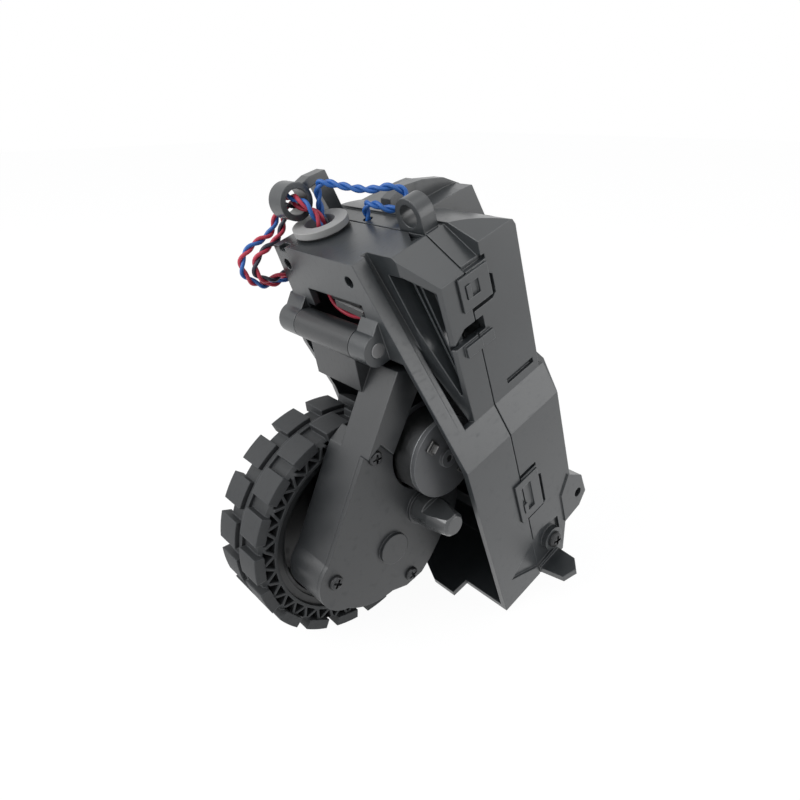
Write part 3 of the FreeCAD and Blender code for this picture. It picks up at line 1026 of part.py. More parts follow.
SWITCH_PAIR = [
    (13.6, 28.6, -1.0), (13.6, 28.6, 3.8), (14.6, 28.9, 8.2), (15.0, 27.0, 12.2),
    (17.2, 22.8, 10.6), (19.6, 17.8, 8.8), (21.8, 13.6, 7.9), (24.4, 9.8, 8.2),
    (27.2, 7.0, 6.0), (25.6, 7.6, 1.9), (22.1, 10.2, 2.7), (20.5, 13.5, 4.9),
    (20.5, 18.0, 4.2), (20.5, 18.0, -1.2)]
CORNER_SHARE = 0.45


def lead(label, points, radius):
    """A round lead along straight runs joined by tangent arcs."""
    route = [Vector(*point) for point in points]
    edges, start, bends = [], route[0], []
    for before, corner, after in zip(route, route[1:], route[2:]):
        back, onward = before - corner, after - corner
        half_turn = (math.pi - back.getAngle(onward)) / 2
        share = CORNER_SHARE * min(back.Length, onward.Length)
        bend = share / math.tan(half_turn)
        back.normalize()
        onward.normalize()
        inward = back + onward
        inward.normalize()
        entry, leave = corner + back * share, corner + onward * share
        middle = corner + inward * (bend / math.cos(half_turn) - bend)
        edges += [Part.LineSegment(start, entry).toShape(),
                  Part.Arc(entry, middle, leave).toShape()]
        start = leave
        bends.append(bend)
    edges.append(Part.LineSegment(start, route[-1]).toShape())
    path = Part.Wire(edges)
    section = Part.Wire([Part.Circle(route[0], route[1] - route[0], float(radius)).toShape()])
    made = doc.addObject("Part::Feature", label)
    made.Label = label
    made.Shape = path.makePipeShell([section], True, False)
    print("%s length %.1f, bends %s, volume share %.4f" % (
        label, path.Length, " ".join("%.1f" % bend for bend in bends),
        made.Shape.Volume / (math.pi * radius ** 2 * path.Length)))
    finish(made)


def make_plug():
    plug = body("lead_plug")
    pad(plug, "shell", "XY_Plane", rectangle(-3.9, -1.9, 3.9, 1.9), -11.0, 0.0)
    pad(plug, "key", "XY_Plane", rectangle(-1.2, 1.5, 1.2, 2.7), -8.0, 0.0)
    cut(plug, "sockets", "XY_Plane",
        {"circles": [((across, 0.0), 0.6) for across in (-3.0, -1.0, 1.0, 3.0)]},
        -11.0, -7.0)
    finish(plug, (PLUG.x, PLUG.z), PLUG.y, lean_turn.inverted())


make_front_shell()
make_rear_shell()
make_hinge_pin()
make_grommet()
make_drop_switch()
make_torsion_spring()
make_boss_screw()
make_gearbox_housing()
make_gearbox_cover()
make_arm_screws()
make_stop_peg()
make_motor()
make_gears()
make_axle_parts()
make_tyre()
make_rim()
lead("outer_lead_pair", OUTER_PAIR, PAIR)
lead("inner_lead_pair", INNER_PAIR, PAIR)
lead("switch_lead_pair", SWITCH_PAIR, PAIR)
make_plug()
doc.recompute()

# Standing place of the whole module: it leans on its wheel and its foot
def stand(offset):
    """Places every sub-part in the leaning stance, moved by an offset."""
    lean = Placement(offset, lean_turn)
    for part, at in sub_parts:
        part.Placement = lean.multiply(at)
    doc.recompute()


def around(chosen):
    """The box round the chosen sub-parts."""
    box = None
    for part in chosen:
        bound = part.Shape.optimalBoundingBox(False)
        box = bound if box is None else box.united(bound)
    return box


# The origin is the middle of the box round everything but the leads, on the floor
stand(Vector(0, 0, 0))
box = around([part for part, at in sub_parts if "lead" not in part.Label])
shift = Vector(-box.Center.x, -box.Center.y, -box.ZMin)
stand(shift)

for item in doc.Objects:
    if any(word in item.State for word in ("Invalid", "Error")):
        raise RuntimeError("%s failed: %s" % (item.Label, item.State))
os.makedirs("parts", exist_ok=True)
for part, at in sub_parts:
    shape = part.Shape
    if shape.isNull() or not shape.isValid():
        raise RuntimeError("%s has no valid shape" % part.Label)
    bound = shape.BoundBox
    print("%-18s %6.1f %6.1f %6.1f  solids %d volume %.0f" % (
        part.Label, bound.XLength, bound.YLength, bound.ZLength, len(shape.Solids),
        shape.Volume))
    shape.exportStep("parts/%s.step" % part.Label)
print("box %.3f %.3f %.3f, shift %.4f %.4f %.4f" % (
    box.XLength, box.YLength, box.ZLength, shift.x, shift.y, shift.z))
for name, at, level in (("hinge", HINGE, 16.5), ("wheel", AXIS, 21.3), ("motor", MOTOR, -4.0),
                        ("first", FIRST, 6.6), ("second", SECOND, 3.3)):
    place = lean_turn.multVec(Vector(float(at[0]), level, float(at[1]))) + shift
    print("%s axis at %.4f %.4f %.4f" % (name, place.x, place.y, place.z))
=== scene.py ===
import math

import bmesh
import bpy
from bpy.props import FloatProperty, FloatVectorProperty, PointerProperty
from mathutils import Matrix, Vector


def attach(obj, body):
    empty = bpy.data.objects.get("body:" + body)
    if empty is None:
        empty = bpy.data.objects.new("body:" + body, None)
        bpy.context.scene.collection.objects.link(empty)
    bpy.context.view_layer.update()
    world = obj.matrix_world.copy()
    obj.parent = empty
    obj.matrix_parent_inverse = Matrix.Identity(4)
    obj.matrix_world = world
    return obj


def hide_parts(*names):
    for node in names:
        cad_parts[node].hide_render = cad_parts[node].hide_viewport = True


bl_info = {
    "name": "Robot vacuum wheel module",
    "version": (1, 0, 0),
    "blender": (4, 5, 0),
    "location": "View3D > Sidebar > Wheel module",
    "description": "Dresses the drive wheel module: leads, screws, finishes and stage",
    "category": "Object",
}

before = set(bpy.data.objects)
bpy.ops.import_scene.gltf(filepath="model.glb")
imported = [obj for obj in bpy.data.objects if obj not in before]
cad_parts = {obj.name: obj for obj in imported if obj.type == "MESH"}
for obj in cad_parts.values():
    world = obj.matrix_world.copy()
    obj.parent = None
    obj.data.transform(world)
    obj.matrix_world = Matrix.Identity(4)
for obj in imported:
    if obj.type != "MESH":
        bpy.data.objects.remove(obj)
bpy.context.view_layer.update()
MM = 0.001

# The casing leans over its wheel. Points are given in the casing's own frame, in
# millimetres, and the standing frame turns them about Y and moves them.
LEAN = math.radians(18.6)
STANDING = Vector((-26.4466, -2.7, 118.7721))
TURN = Matrix.Rotation(-LEAN, 3, "Y")
# The same step as a matrix, for pieces that are modelled in millimetres
CASING = Matrix.Translation(STANDING * MM) @ TURN.to_4x4() @ Matrix.Scale(MM, 4)


def stand(point):
    """A casing point in millimetres as a standing point in metres."""
    return (TURN @ Vector(point) + STANDING) * MM


# Settings that a user would change

class StageSettings(bpy.types.PropertyGroup):
    lens: FloatProperty(name="Lens", description="Focal length of the camera", default=28.446,
                        unit="CAMERA")
    eye: FloatVectorProperty(name="Camera place", description="Where the camera stands",
                             default=(-0.114585, -0.123558, 0.152814), subtype="TRANSLATION")
    turn: FloatVectorProperty(name="Camera turn", description="Euler angles of the camera",
                              default=(1.125000, 0.010366, -0.739544), subtype="EULER")
    lamp: FloatProperty(name="Lamps", description="Share of the lamps' full power",
                        default=1.0, min=0.0)
    sky: FloatProperty(name="Surround", description="Strength of the surrounding light",
                       default=0.36, min=0.0)
    paper: FloatVectorProperty(name="Floor colour", description="Colour of the floor",
                               default=(0.86, 0.86, 0.86), subtype="COLOR", min=0.0, max=1.0)


class LeadSettings(bpy.types.PropertyGroup):
    wire: FloatProperty(name="Wire thickness", description="Diameter of one insulated wire",
                        default=0.00112, unit="LENGTH")
    lay: FloatProperty(name="Twist length", description="Length of one full twist of a pair",
                       default=0.0078, unit="LENGTH")
    red: FloatVectorProperty(name="Red", description="Colour of the red insulation",
                             default=(0.50, 0.035, 0.07), subtype="COLOR", min=0.0, max=1.0)
    blue: FloatVectorProperty(name="Blue", description="Colour of the blue insulation",
                              default=(0.02, 0.12, 0.42), subtype="COLOR", min=0.0, max=1.0)
    dark: FloatVectorProperty(name="Dark", description="Colour of the dark insulation",
                              default=(0.012, 0.013, 0.03), subtype="COLOR", min=0.0, max=1.0)


class FinishSettings(bpy.types.PropertyGroup):
    casing: FloatVectorProperty(name="Casing", description="Colour of the casing's plastic",
                                default=(0.029, 0.033, 0.036), subtype="COLOR", min=0.0,
                                max=1.0)
    arm: FloatVectorProperty(name="Arm", description="Colour of the arm's plastic",
                             default=(0.017, 0.019, 0.021), subtype="COLOR", min=0.0, max=1.0)
    tyre: FloatVectorProperty(name="Tyre", description="Colour of the tyre's rubber",
                              default=(0.026, 0.028, 0.030), subtype="COLOR", min=0.0,
                              max=1.0)
    grommet: FloatVectorProperty(name="Grommet", description="Colour of the wire grommet",
                                 default=(0.37, 0.37, 0.365), subtype="COLOR", min=0.0,
                                 max=1.0)


# Leads, by the same routes as their solids

PLUG = Vector((20.2, 39.3, -61.0))
PLUG_PITCH = 1.3


def over_plug(across, up):
    """A point above the hanging plug, given along the level and the upright."""
    return tuple(PLUG + TURN.transposed() @ Vector((across, 0, up)))


OUTER_PAIR = [
    (10.0, 25.0, -1.0), (10.0, 25.0, 4.0), (9.2, 27.2, 8.8), (8.6, 31.2, 10.2),
    (8.6, 36.6, 10.1), (7.6, 40.4, 6.6), (3.6, 40.6, 0.8), (-3.6, 40.6, 1.1),
    (-8.8, 40.6, -1.2), (-9.6, 40.6, -5.8), (-6.4, 40.6, -10.4), (-1.6, 40.6, -12.2),
    (4.6, 40.6, -12.6), (13.0, 40.6, -16.8), (22.6, 40.6, -25.4), (28.2, 40.0, -38.4),
    over_plug(PLUG_PITCH, 11.0), over_plug(PLUG_PITCH, 0.0)]
INNER_PAIR = [
    (12.8, 26.2, -1.0), (12.8, 26.2, 2.4), (11.2, 27.6, 5.2), (9.1, 30.2, 7.7),
    (8.6, 37.0, 7.9), (7.6, 38.8, 3.4), (3.6, 38.2, -0.5), (-2.2, 38.0, -0.9),
    (-6.2, 38.0, -2.6), (-7.4, 38.0, -6.4), (-4.4, 38.0, -9.4), (0.2, 38.0, -9.6),
    (5.6, 38.0, -10.6), (12.6, 38.0, -14.2), (20.0, 38.0, -22.0), (24.8, 38.4, -34.6),
    over_plug(-PLUG_PITCH, 13.0), over_plug(-PLUG_PITCH, 0.0)]
SWITCH_PAIR = [
    (13.6, 28.6, -1.0), (13.6, 28.6, 3.8), (14.6, 28.9, 8.2), (15.0, 27.0, 12.2),
    (17.2, 22.8, 10.6), (19.6, 17.8, 8.8), (21.8, 13.6, 7.9), (24.4, 9.8, 8.2),
    (27.2, 7.0, 6.0), (25.6, 7.6, 1.9), (22.1, 10.2, 2.7), (20.5, 13.5, 4.9),
    (20.5, 18.0, 4.2), (20.5, 18.0, -1.2)]
# The motor's lead, which shows through the wiring window
MOTOR_LEAD = [
    (9.6, 27.4, -9.0), (7.0, 26.8, -12.0), (5.0, 25.0, -15.2), (4.4, 23.2, -18.6),
    (4.6, 19.0, -20.8), (4.5, 13.0, -20.6), (5.0, 8.0, -19.2), (7.4, 4.6, -18.0),
    (11.0, 3.0, -17.4)]

WIRE_SIDES = 10
# How far a wire of a pair lies from the pair's route, in its own radii
WIRE_SPREAD = 0.94

# Screws: places as (depth, height), the face that they sit on, and their heads as
# (radius, height)
COVER_SCREWS = [(-15.4, -48.2), (-40.6, -74.6), (-18.7, -95.2)]
COVER_FACE = -4.5
COVER_HEAD = (2.2, 1.25)
BOSS_SCREW = (26.3, -112.3)
BOSS_FACE = -22.8
BOSS_HEAD = (2.8, 1.65)
SHANK_RADIUS = 1.1
SHANK_LENGTH = 7.0
# The cross recess of the first screw is turned by this, and each next one by a step more
RECESS_TURN = 20.0
RECESS_STEP = 31.0

# Motor: its axis as (depth, height), and its terminals at angles round that axis
MOTOR = (1.5, -58.0)
MOTOR_FACE = -12.5
TERMINAL_ANGLES = (120.0, -60.0)
TERMINAL_REACH = 8.0
# A terminal's base and its tab, as (sizes, place over the motor's face, rounding)
TERMINAL_BLOCKS = [((3.6, 0.8, 3.0), (0, -0.35, 0), 0.25),
                   ((2.4, 2.0, 0.5), (0, -1.5, 0.2), 0.12)]

# Lever: its pivot as (across, height), its section as (depth, height) from the pivot's
# height, and its width, which starts beyond the pivot
LEVER_PIVOT = (20.2, -16.15)
LEVER_TILT = math.radians(6.0)
LEVER_SECTION = [(4.3, -2.5), (4.3, -0.45), (4.5, -0.25), (8.2, -0.25)]
LEVER_START = 0.7
LEVER_WIDTH = 12.1
LEVER_THICKNESS = 0.35

# Stage: the camera's shift, half the floor's side, how bright the floor shows and the
# share of that glow in it, and the lamps as (name, place, size, power in watts)
CAMERA_SHIFT = (-0.02418, 0.00873)
FLOOR_HALF = 3.0
FLOOR_GLOW = 1.06
GLOW_SHARE = 0.9
LAMPS = [("key", (-0.72, 0.25, 0.62), 0.7, 5.6),
         ("side", (0.55, -0.8, 0.3), 0.6, 1.9),
         ("top", (-0.1, -0.25, 0.95), 0.8, 1.5)]
LAMP_AIM = Vector((0, 0, 0.06))


# Small tools that several pieces use

def link(obj):
    """Puts an object into the scene and hands it back."""
    bpy.context.scene.collection.objects.link(obj)
    return obj


def mesh_object(name, bm):
    """Turns a bmesh into an object of the scene."""
    mesh = bpy.data.meshes.new(name)
    bm.to_mesh(mesh)
    bm.free()
    return link(bpy.data.objects.new(name, mesh))


def piece(name, bm, body, material):
    """Makes a named, flat-shaded piece from a bmesh and lets it ride on its body."""
    bmesh.ops.recalc_face_normals(bm, faces=bm.faces)
    obj = mesh_object(name, bm)
    obj.data.materials.append(material)
    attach(obj, body)
    return obj


def turned(bm, profile, place):
    """Spins a profile of (radius, across) points into a solid at a casing place."""
    corners = [bm.verts.new((radius, across, 0)) for radius, across in profile]
    edges = [bm.edges.new(pair) for pair in zip(corners, corners[1:])]
    spun = bmesh.ops.spin(bm, geom=corners + edges, cent=(0, 0, 0), axis=(0, 1, 0),
                          angle=2 * math.pi, steps=36, use_merge=True)
    verts = {item for item in spun["geom_last"] if isinstance(item, bmesh.types.BMVert)}
    for edge in edges:
        verts.update(edge.verts)
    island = set(verts)
    while verts:
        verts = {edge.other_vert(vert) for vert in verts for edge in vert.link_edges} - island
        island |= verts
    bmesh.ops.transform(bm, matrix=place, verts=list(island))


def block(bm, place, sizes, rounding):
    """A box with rounded edges at a place."""
    made = bmesh.ops.create_cube(bm, size=1.0)["verts"]
    bmesh.ops.transform(bm, matrix=place @ Matrix.Diagonal((*sizes, 1)), verts=made)
    edges = list({edge for vert in made for edge in vert.link_edges})
    bmesh.ops.bevel(bm, geom=edges, offset=rounding * MM, offset_type="OFFSET",
                    segments=2, profile=0.5, affect="EDGES", material=-1)


def cross(bm, place, width, reach, depth):
    """A cross-shaped prism: a square block whose four sides are drawn outwards."""
    made = bmesh.ops.create_cube(bm, size=1.0)["verts"]
    bmesh.ops.transform(bm, matrix=Matrix.Diagonal((width, depth, width, 1)), verts=made)
    faces = list({face for vert in made for face in vert.link_faces})
    corners = set(made)
    for face in [f for f in faces if abs(f.normal.y) < 0.5]:
        outward = face.normal * reach
        drawn = bmesh.ops.extrude_discrete_faces(bm, faces=[face])["faces"][0]
        bmesh.ops.translate(bm, vec=outward, verts=drawn.verts)
        corners.update(drawn.verts)
    bmesh.ops.transform(bm, matrix=place, verts=list(corners))


def carve(obj, cutter_bm):
    """Cuts a bmesh out of a piece and keeps the result as the piece's own mesh."""
    bmesh.ops.recalc_face_normals(cutter_bm, faces=cutter_bm.faces)
    cutter = mesh_object("cutter", cutter_bm)
    cutting = obj.modifiers.new("recess", "BOOLEAN")
    cutting.operation = "DIFFERENCE"
    cutting.solver = "EXACT"
    cutting.object = cutter
    bpy.context.view_layer.update()
    evaluated = obj.evaluated_get(bpy.context.evaluated_depsgraph_get())
    carved = bpy.data.meshes.new_from_object(evaluated)
    obj.modifiers.clear()
    plain, obj.data = obj.data, carved
    carved.name = plain.name + "_carved"
    bpy.data.meshes.remove(plain)
    # With its mesh, the cutter's object goes too
    bpy.data.meshes.remove(cutter.data)


def cross_screws(name, spots, face, head, body, node, material):
    """Pan-headed screws with a cross recess, their heads toward the near side."""
    radius, height = head
    bm, recesses = bmesh.new(), bmesh.new()
    for number, (depth, level) in enumerate(spots):
        spot = CASING @ Matrix.Translation((depth, face, level))
        turned(bm, [(0.0, -height), (radius * 0.55, -height * 0.98),
                    (radius * 0.84, -height * 0.84), (radius * 0.97, -height * 0.5),
                    (radius, -height * 0.2), (radius, 0.0), (SHANK_RADIUS, 0.0),
                    (SHANK_RADIUS, SHANK_LENGTH - 0.8), (0.7, SHANK_LENGTH - 0.1),
                    (0.0, SHANK_LENGTH)], spot)
        turn = Matrix.Rotation(math.radians(RECESS_TURN + RECESS_STEP * number), 4, "Y")
        cross(recesses, spot @ Matrix.Translation((0, -height, 0)) @ turn,
              radius * 0.34, radius * 0.5, height * 1.5)
    screws = piece(name, bm, body, material)
    carve(screws, recesses)
    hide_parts(node)


def route_line(points):
    """Points read from the smooth spline that has a route's points as its control."""
    curve = bpy.data.curves.new("route", "CURVE")
    curve.dimensions = "3D"
    curve.resolution_u = 10
    spline = curve.splines.new("NURBS")
    spline.points.add(len(points) - 1)
    for place, point in zip(spline.points, points):
        place.co = (*stand(point), 1.0)
    spline.order_u = 3
    spline.use_endpoint_u = True
    holder = link(bpy.data.objects.new("route", curve))
    bpy.context.view_layer.update()
    evaluated = holder.evaluated_get(bpy.context.evaluated_depsgraph_get())
    mesh = bpy.data.meshes.new_from_object(evaluated)
    line = [vertex.co.copy() for vertex in mesh.vertices]
    bpy.data.objects.remove(holder)
    bpy.data.curves.remove(curve)
    bpy.data.meshes.remove(mesh)
    return line


def frames_along(line):
    """A tangent and a side direction at each point, without twist."""
    tangents = []
    for index in range(len(line)):
        before, after = line[max(index - 1, 0)], line[min(index + 1, len(line) - 1)]
        tangents.append((after - before).normalized())
    side = tangents[0].orthogonal().normalized()
    sides = []
    for tangent in tangents:
        side = (side - tangent * side.dot(tangent)).normalized()
        sides.append(side.copy())
    return tangents, sides


def strand(bm, line, radius, material_index):
    """Sweeps a ring along a line and closes both ends."""
    tangents, sides = frames_along(line)
    before = None
    for index, (point, tangent, side) in enumerate(zip(line, tangents, sides)):
        up = tangent.cross(side)
        ring = bmesh.ops.create_circle(bm, segments=WIRE_SIDES, radius=radius)["verts"]
        place = Matrix((side, up, tangent)).transposed().to_4x4()
        place.translation = point
        bmesh.ops.transform(bm, matrix=place, verts=ring)
        edges = list({edge for vert in ring for edge in vert.link_edges})
        if before is not None:
            joined = bmesh.ops.bridge_loops(bm, edges=before + edges)
            for face in joined["faces"]:
                face.material_index = material_index
        if index in (0, len(line) - 1):
            cap = bmesh.ops.contextual_create(bm, geom=edges)
            for face in cap["faces"]:
                face.material_index = material_index
        before = edges


def wire_mesh(name, lines, radius, colours):
    """Round wires along lines, as one piece on the casing."""
    bm = bmesh.new()
    for material_index, line in enumerate(lines):
        strand(bm, line, radius, material_index)
    obj = mesh_object(name, bm)
    for face in obj.data.polygons:
        face.use_smooth = True
    for colour in colours:
        obj.data.materials.append(colour)
    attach(obj, "casing")
    return obj


def twisted_pair(name, points, colours, node):
    """Two insulated wires twisted round each other along one route."""
    leads = bpy.context.scene.wheel_leads
    line = route_line(points)
    tangents, sides = frames_along(line)
    radius = leads.wire / 2
    strands = []
    for which in (0.0, math.pi):
        travelled, wound = 0.0, []
        for index, (point, tangent, side) in enumerate(zip(line, tangents, sides)):
            if index:
                travelled += (point - line[index - 1]).length
            angle = which + travelled / leads.lay * 2 * math.pi
            out = side * math.cos(angle) + tangent.cross(side) * math.sin(angle)
            wound.append(point + out * radius * WIRE_SPREAD)
        strands.append(wound)
    obj = wire_mesh(name, strands, radius, colours)
    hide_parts(node)


# Shader groups, each built once

def group(name, inputs, outputs):
    """An empty shader group with its sockets. Returns it with its two ends."""
    made = bpy.data.node_groups.new(name, "ShaderNodeTree")
    for title, kind, default in inputs:
        socket = made.interface.new_socket(title, in_out="INPUT", socket_type=kind)
        socket.default_value = default
    for title, kind in outputs:
        made.interface.new_socket(title, in_out="OUTPUT", socket_type=kind)
    return made, made.nodes.new("NodeGroupInput"), made.nodes.new("NodeGroupOutput")


def add(tree, kind, **values):
    """A new node with its own settings."""
    node = tree.nodes.new(kind)
    for key, value in values.items():
        setattr(node, key, value)
    return node


def wire_up(tree, *pairs):
    """Links pairs of an output and an input."""
    for source, target in pairs:
        tree.links.new(source, target)


def edge_group():
    """Soft edges: a rounded normal, and a mask that is one along the edges, where a painted
    highlight goes.
    """
    found = bpy.data.node_groups.get("moulded_edges")
    if found:
        return found
    tree, given, out = group("moulded_edges", [("Radius", "NodeSocketFloat", 0.0004)],
                             [("Normal", "NodeSocketVector"), ("Mask", "NodeSocketFloat")])
    bevel = add(tree, "ShaderNodeBevel", samples=6)
    geometry = add(tree, "ShaderNodeNewGeometry")
    dot = add(tree, "ShaderNodeVectorMath", operation="DOT_PRODUCT")
    ramp = add(tree, "ShaderNodeMapRange")
    ramp.inputs["From Min"].default_value = 0.995
    ramp.inputs["From Max"].default_value = 0.9
    wire_up(tree, (given.outputs["Radius"], bevel.inputs["Radius"]),
            (bevel.outputs["Normal"], dot.inputs[0]),
            (geometry.outputs["Normal"], dot.inputs[1]),
            (dot.outputs["Value"], ramp.inputs["Value"]),
            (bevel.outputs["Normal"], out.inputs["Normal"]),
            (ramp.outputs["Result"], out.inputs["Mask"]))
    return tree


def grain_group():
    """Moulded surface: fine spark-eroded grain, slow flow marks and rub marks."""
    found = bpy.data.node_groups.get("moulded_grain")
    if found:
        return found
    tree, given, out = group(
        "moulded_grain",
        [("Grain", "NodeSocketFloat", 2600.0), ("Flow", "NodeSocketFloat", 60.0)],
        [("Height", "NodeSocketFloat"), ("Cloud", "NodeSocketFloat"),
         ("Rubs", "NodeSocketFloat")])
    coordinates = add(tree, "ShaderNodeTexCoord")
    fine = add(tree, "ShaderNodeTexNoise")
    fine.inputs["Detail"].default_value = 2.0
    cloud = add(tree, "ShaderNodeTexNoise")
    cloud.inputs["Detail"].default_value = 4.0
    stretch = add(tree, "ShaderNodeMapping")
    stretch.inputs["Scale"].default_value = (1.0, 7.0, 1.0)
    stretch.inputs["Rotation"].default_value = (0.5, 0.3, 0.9)
    rubs = add(tree, "ShaderNodeTexNoise")
    rubs.inputs["Scale"].default_value = 420.0
    rubs.inputs["Detail"].default_value = 5.0
    rub_range = add(tree, "ShaderNodeMapRange")
    rub_range.inputs["From Min"].default_value = 0.56
    rub_range.inputs["From Max"].default_value = 0.74
    wire_up(tree, (coordinates.outputs["Object"], fine.inputs["Vector"]),
            (coordinates.outputs["Object"], cloud.inputs["Vector"]),
            (coordinates.outputs["Object"], stretch.inputs["Vector"]),
            (stretch.outputs["Vector"], rubs.inputs["Vector"]),
            (given.outputs["Grain"], fine.inputs["Scale"]),
            (given.outputs["Flow"], cloud.inputs["Scale"]),
            (rubs.outputs["Fac"], rub_range.inputs["Value"]),
            (fine.outputs["Fac"], out.inputs["Height"]),
            (cloud.outputs["Fac"], out.inputs["Cloud"]),
            (rub_range.outputs["Result"], out.inputs["Rubs"]))
    return tree


# Sockets of a Mix node that mixes colours
MIX_FIRST, MIX_SECOND, MIX_RESULT = 6, 7, 2


def surface(name, colour, rough, spread=0.08, metallic=0.0, grain=2600.0, height=0.05,
            edge=0.0004, edge_light=1.8, cloud_share=0.25, rub_share=0.2, shine=0.5):
    """A finish with grain, slow colour change, rub marks and edges made lighter by a painted
    highlight.

    The roughness is rough, give or take spread. The grain has its scale and the height
    of its bump. An edge has its radius and how many times lighter its painted highlight is.
    cloud_share is the slow change of the colour, and rub_share how much rougher a rub mark is."""
    title = "finish_" + name
    found = bpy.data.materials.get(title)
    if found:
        return found
    material = bpy.data.materials.new(title)
    material.use_nodes = True
    tree = material.node_tree
    shader = tree.nodes["Principled BSDF"]
    shader.inputs["Metallic"].default_value = metallic
    shader.inputs["Specular IOR Level"].default_value = shine
    edges = add(tree, "ShaderNodeGroup", node_tree=edge_group())
    edges.inputs["Radius"].default_value = edge
    moulded = add(tree, "ShaderNodeGroup", node_tree=grain_group())
    moulded.inputs["Grain"].default_value = grain
    base = add(tree, "ShaderNodeMix", data_type="RGBA")
    base.inputs[MIX_FIRST].default_value = (*[c * (1 - cloud_share) for c in colour], 1)
    base.inputs[MIX_SECOND].default_value = (*[c * (1 + cloud_share) for c in colour], 1)
    # Painted highlight: along every edge the colour is made edge_light times lighter
    edge_highlight = add(tree, "ShaderNodeMix", data_type="RGBA")
    edge_highlight.inputs[MIX_SECOND].default_value = (*[min(c * edge_light, 1) for c in colour], 1)
    roughness = add(tree, "ShaderNodeMapRange")
    roughness.inputs["To Min"].default_value = rough - spread
    roughness.inputs["To Max"].default_value = rough + spread
    rubbed = add(tree, "ShaderNodeMath", operation="MULTIPLY_ADD")
    rubbed.inputs[1].default_value = rub_share
    bump = add(tree, "ShaderNodeBump")
    bump.inputs["Strength"].default_value = height
    bump.inputs["Distance"].default_value = 0.00004
    wire_up(tree, (moulded.outputs["Cloud"], base.inputs[0]),
            (base.outputs[MIX_RESULT], edge_highlight.inputs[MIX_FIRST]),
            (edges.outputs["Mask"], edge_highlight.inputs[0]),
            (edge_highlight.outputs[MIX_RESULT], shader.inputs["Base Color"]),
            (moulded.outputs["Cloud"], roughness.inputs["Value"]),
            (moulded.outputs["Rubs"], rubbed.inputs[0]),
            (roughness.outputs["Result"], rubbed.inputs[2]),
            (rubbed.outputs["Value"], shader.inputs["Roughness"]),
            (moulded.outputs["Height"], bump.inputs["Height"]),
            (edges.outputs["Normal"], bump.inputs["Normal"]),
            (bump.outputs["Normal"], shader.inputs["Normal"]))
    return material


def insulation(name, colour, rough):
    """A lead's smooth plastic."""
    return surface(name + "_insulation", colour, rough, grain=900.0, edge=0.0001,
                   rub_share=0.1)


def dress(names, material):
    """Gives CAD nodes their finish."""
    for name in names:
        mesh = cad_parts[name].data
        mesh.materials.clear()
        mesh.materials.append(material)


class WHEEL_OT_camera(bpy.types.Operator):
    """Sets the camera to the photograph's view"""
    bl_idname = "wheel_module.camera"
    bl_label = "Camera"

    def execute(self, context):
        settings = context.scene.wheel_stage
        data = bpy.data.cameras.new("camera")
        data.sensor_width = 36.0
        data.lens = settings.lens
        data.shift_x, data.shift_y = CAMERA_SHIFT
        data.clip_start = 0.005
        camera = link(bpy.data.objects.new("camera", data))
        camera.location = settings.eye
        camera.rotation_euler = settings.turn
        context.scene.camera = camera
        return {"FINISHED"}


class WHEEL_OT_leads(bpy.types.Operator):
    """Makes the three twisted pairs of leads and the motor's lead in the window"""
    bl_idname = "wheel_module.leads"
    bl_label = "Leads"

    def execute(self, context):
        leads = context.scene.wheel_leads
        red = insulation("red", leads.red, 0.42)
        blue = insulation("blue", leads.blue, 0.42)
        dark = insulation("dark", leads.dark, 0.4)
        twisted_pair("outer_leads", OUTER_PAIR, (red, blue), "outer_lead_pair")
        twisted_pair("inner_leads", INNER_PAIR, (red, dark), "inner_lead_pair")
        twisted_pair("switch_leads", SWITCH_PAIR, (blue, blue), "switch_lead_pair")
        line = route_line(MOTOR_LEAD)
        lead = wire_mesh("motor_lead", [line], leads.wire / 2, [red])
        return {"FINISHED"}


class WHEEL_OT_screws(bpy.types.Operator):
    """Makes the cross-recessed screws of the cover and of the casing's boss"""
    bl_idname = "wheel_module.screws"
    bl_label = "Screws"

    def execute(self, context):
        steel = surface("black_oxide", (0.05, 0.051, 0.053), 0.36, metallic=0.8,
                        grain=1800.0, height=0.12, edge=0.00015, edge_light=2.6)
        cross_screws("cover_screw_heads", COVER_SCREWS, COVER_FACE, COVER_HEAD,
                     "swing_arm", "cover_screws", steel)
        cross_screws("boss_screw_head", [BOSS_SCREW], BOSS_FACE, BOSS_HEAD,
                     "casing", "boss_screw", steel)
        return {"FINISHED"}


class WHEEL_OT_terminals(bpy.types.Operator):
    """Makes the motor's two terminals"""
    bl_idname = "wheel_module.terminals"
    bl_label = "Terminals"

    def execute(self, context):
        tinned = surface("tinned_brass", (0.1, 0.1, 0.1), 0.45, metallic=1.0, edge=0.0001)
        bm = bmesh.new()
        for angle in TERMINAL_ANGLES:
            depth = MOTOR[0] + TERMINAL_REACH * math.cos(math.radians(angle))
            level = MOTOR[1] + TERMINAL_REACH * math.sin(math.radians(angle))
            spot = CASING @ Matrix.Translation((depth, MOTOR_FACE, level)) @ Matrix.Rotation(
                math.radians(90.0 - angle), 4, "Y")
            for sizes, place, rounding in TERMINAL_BLOCKS:
                block(bm, spot @ Matrix.Translation(place), sizes, rounding)
        piece("motor_terminals", bm, "swing_arm", tinned)
        return {"FINISHED"}


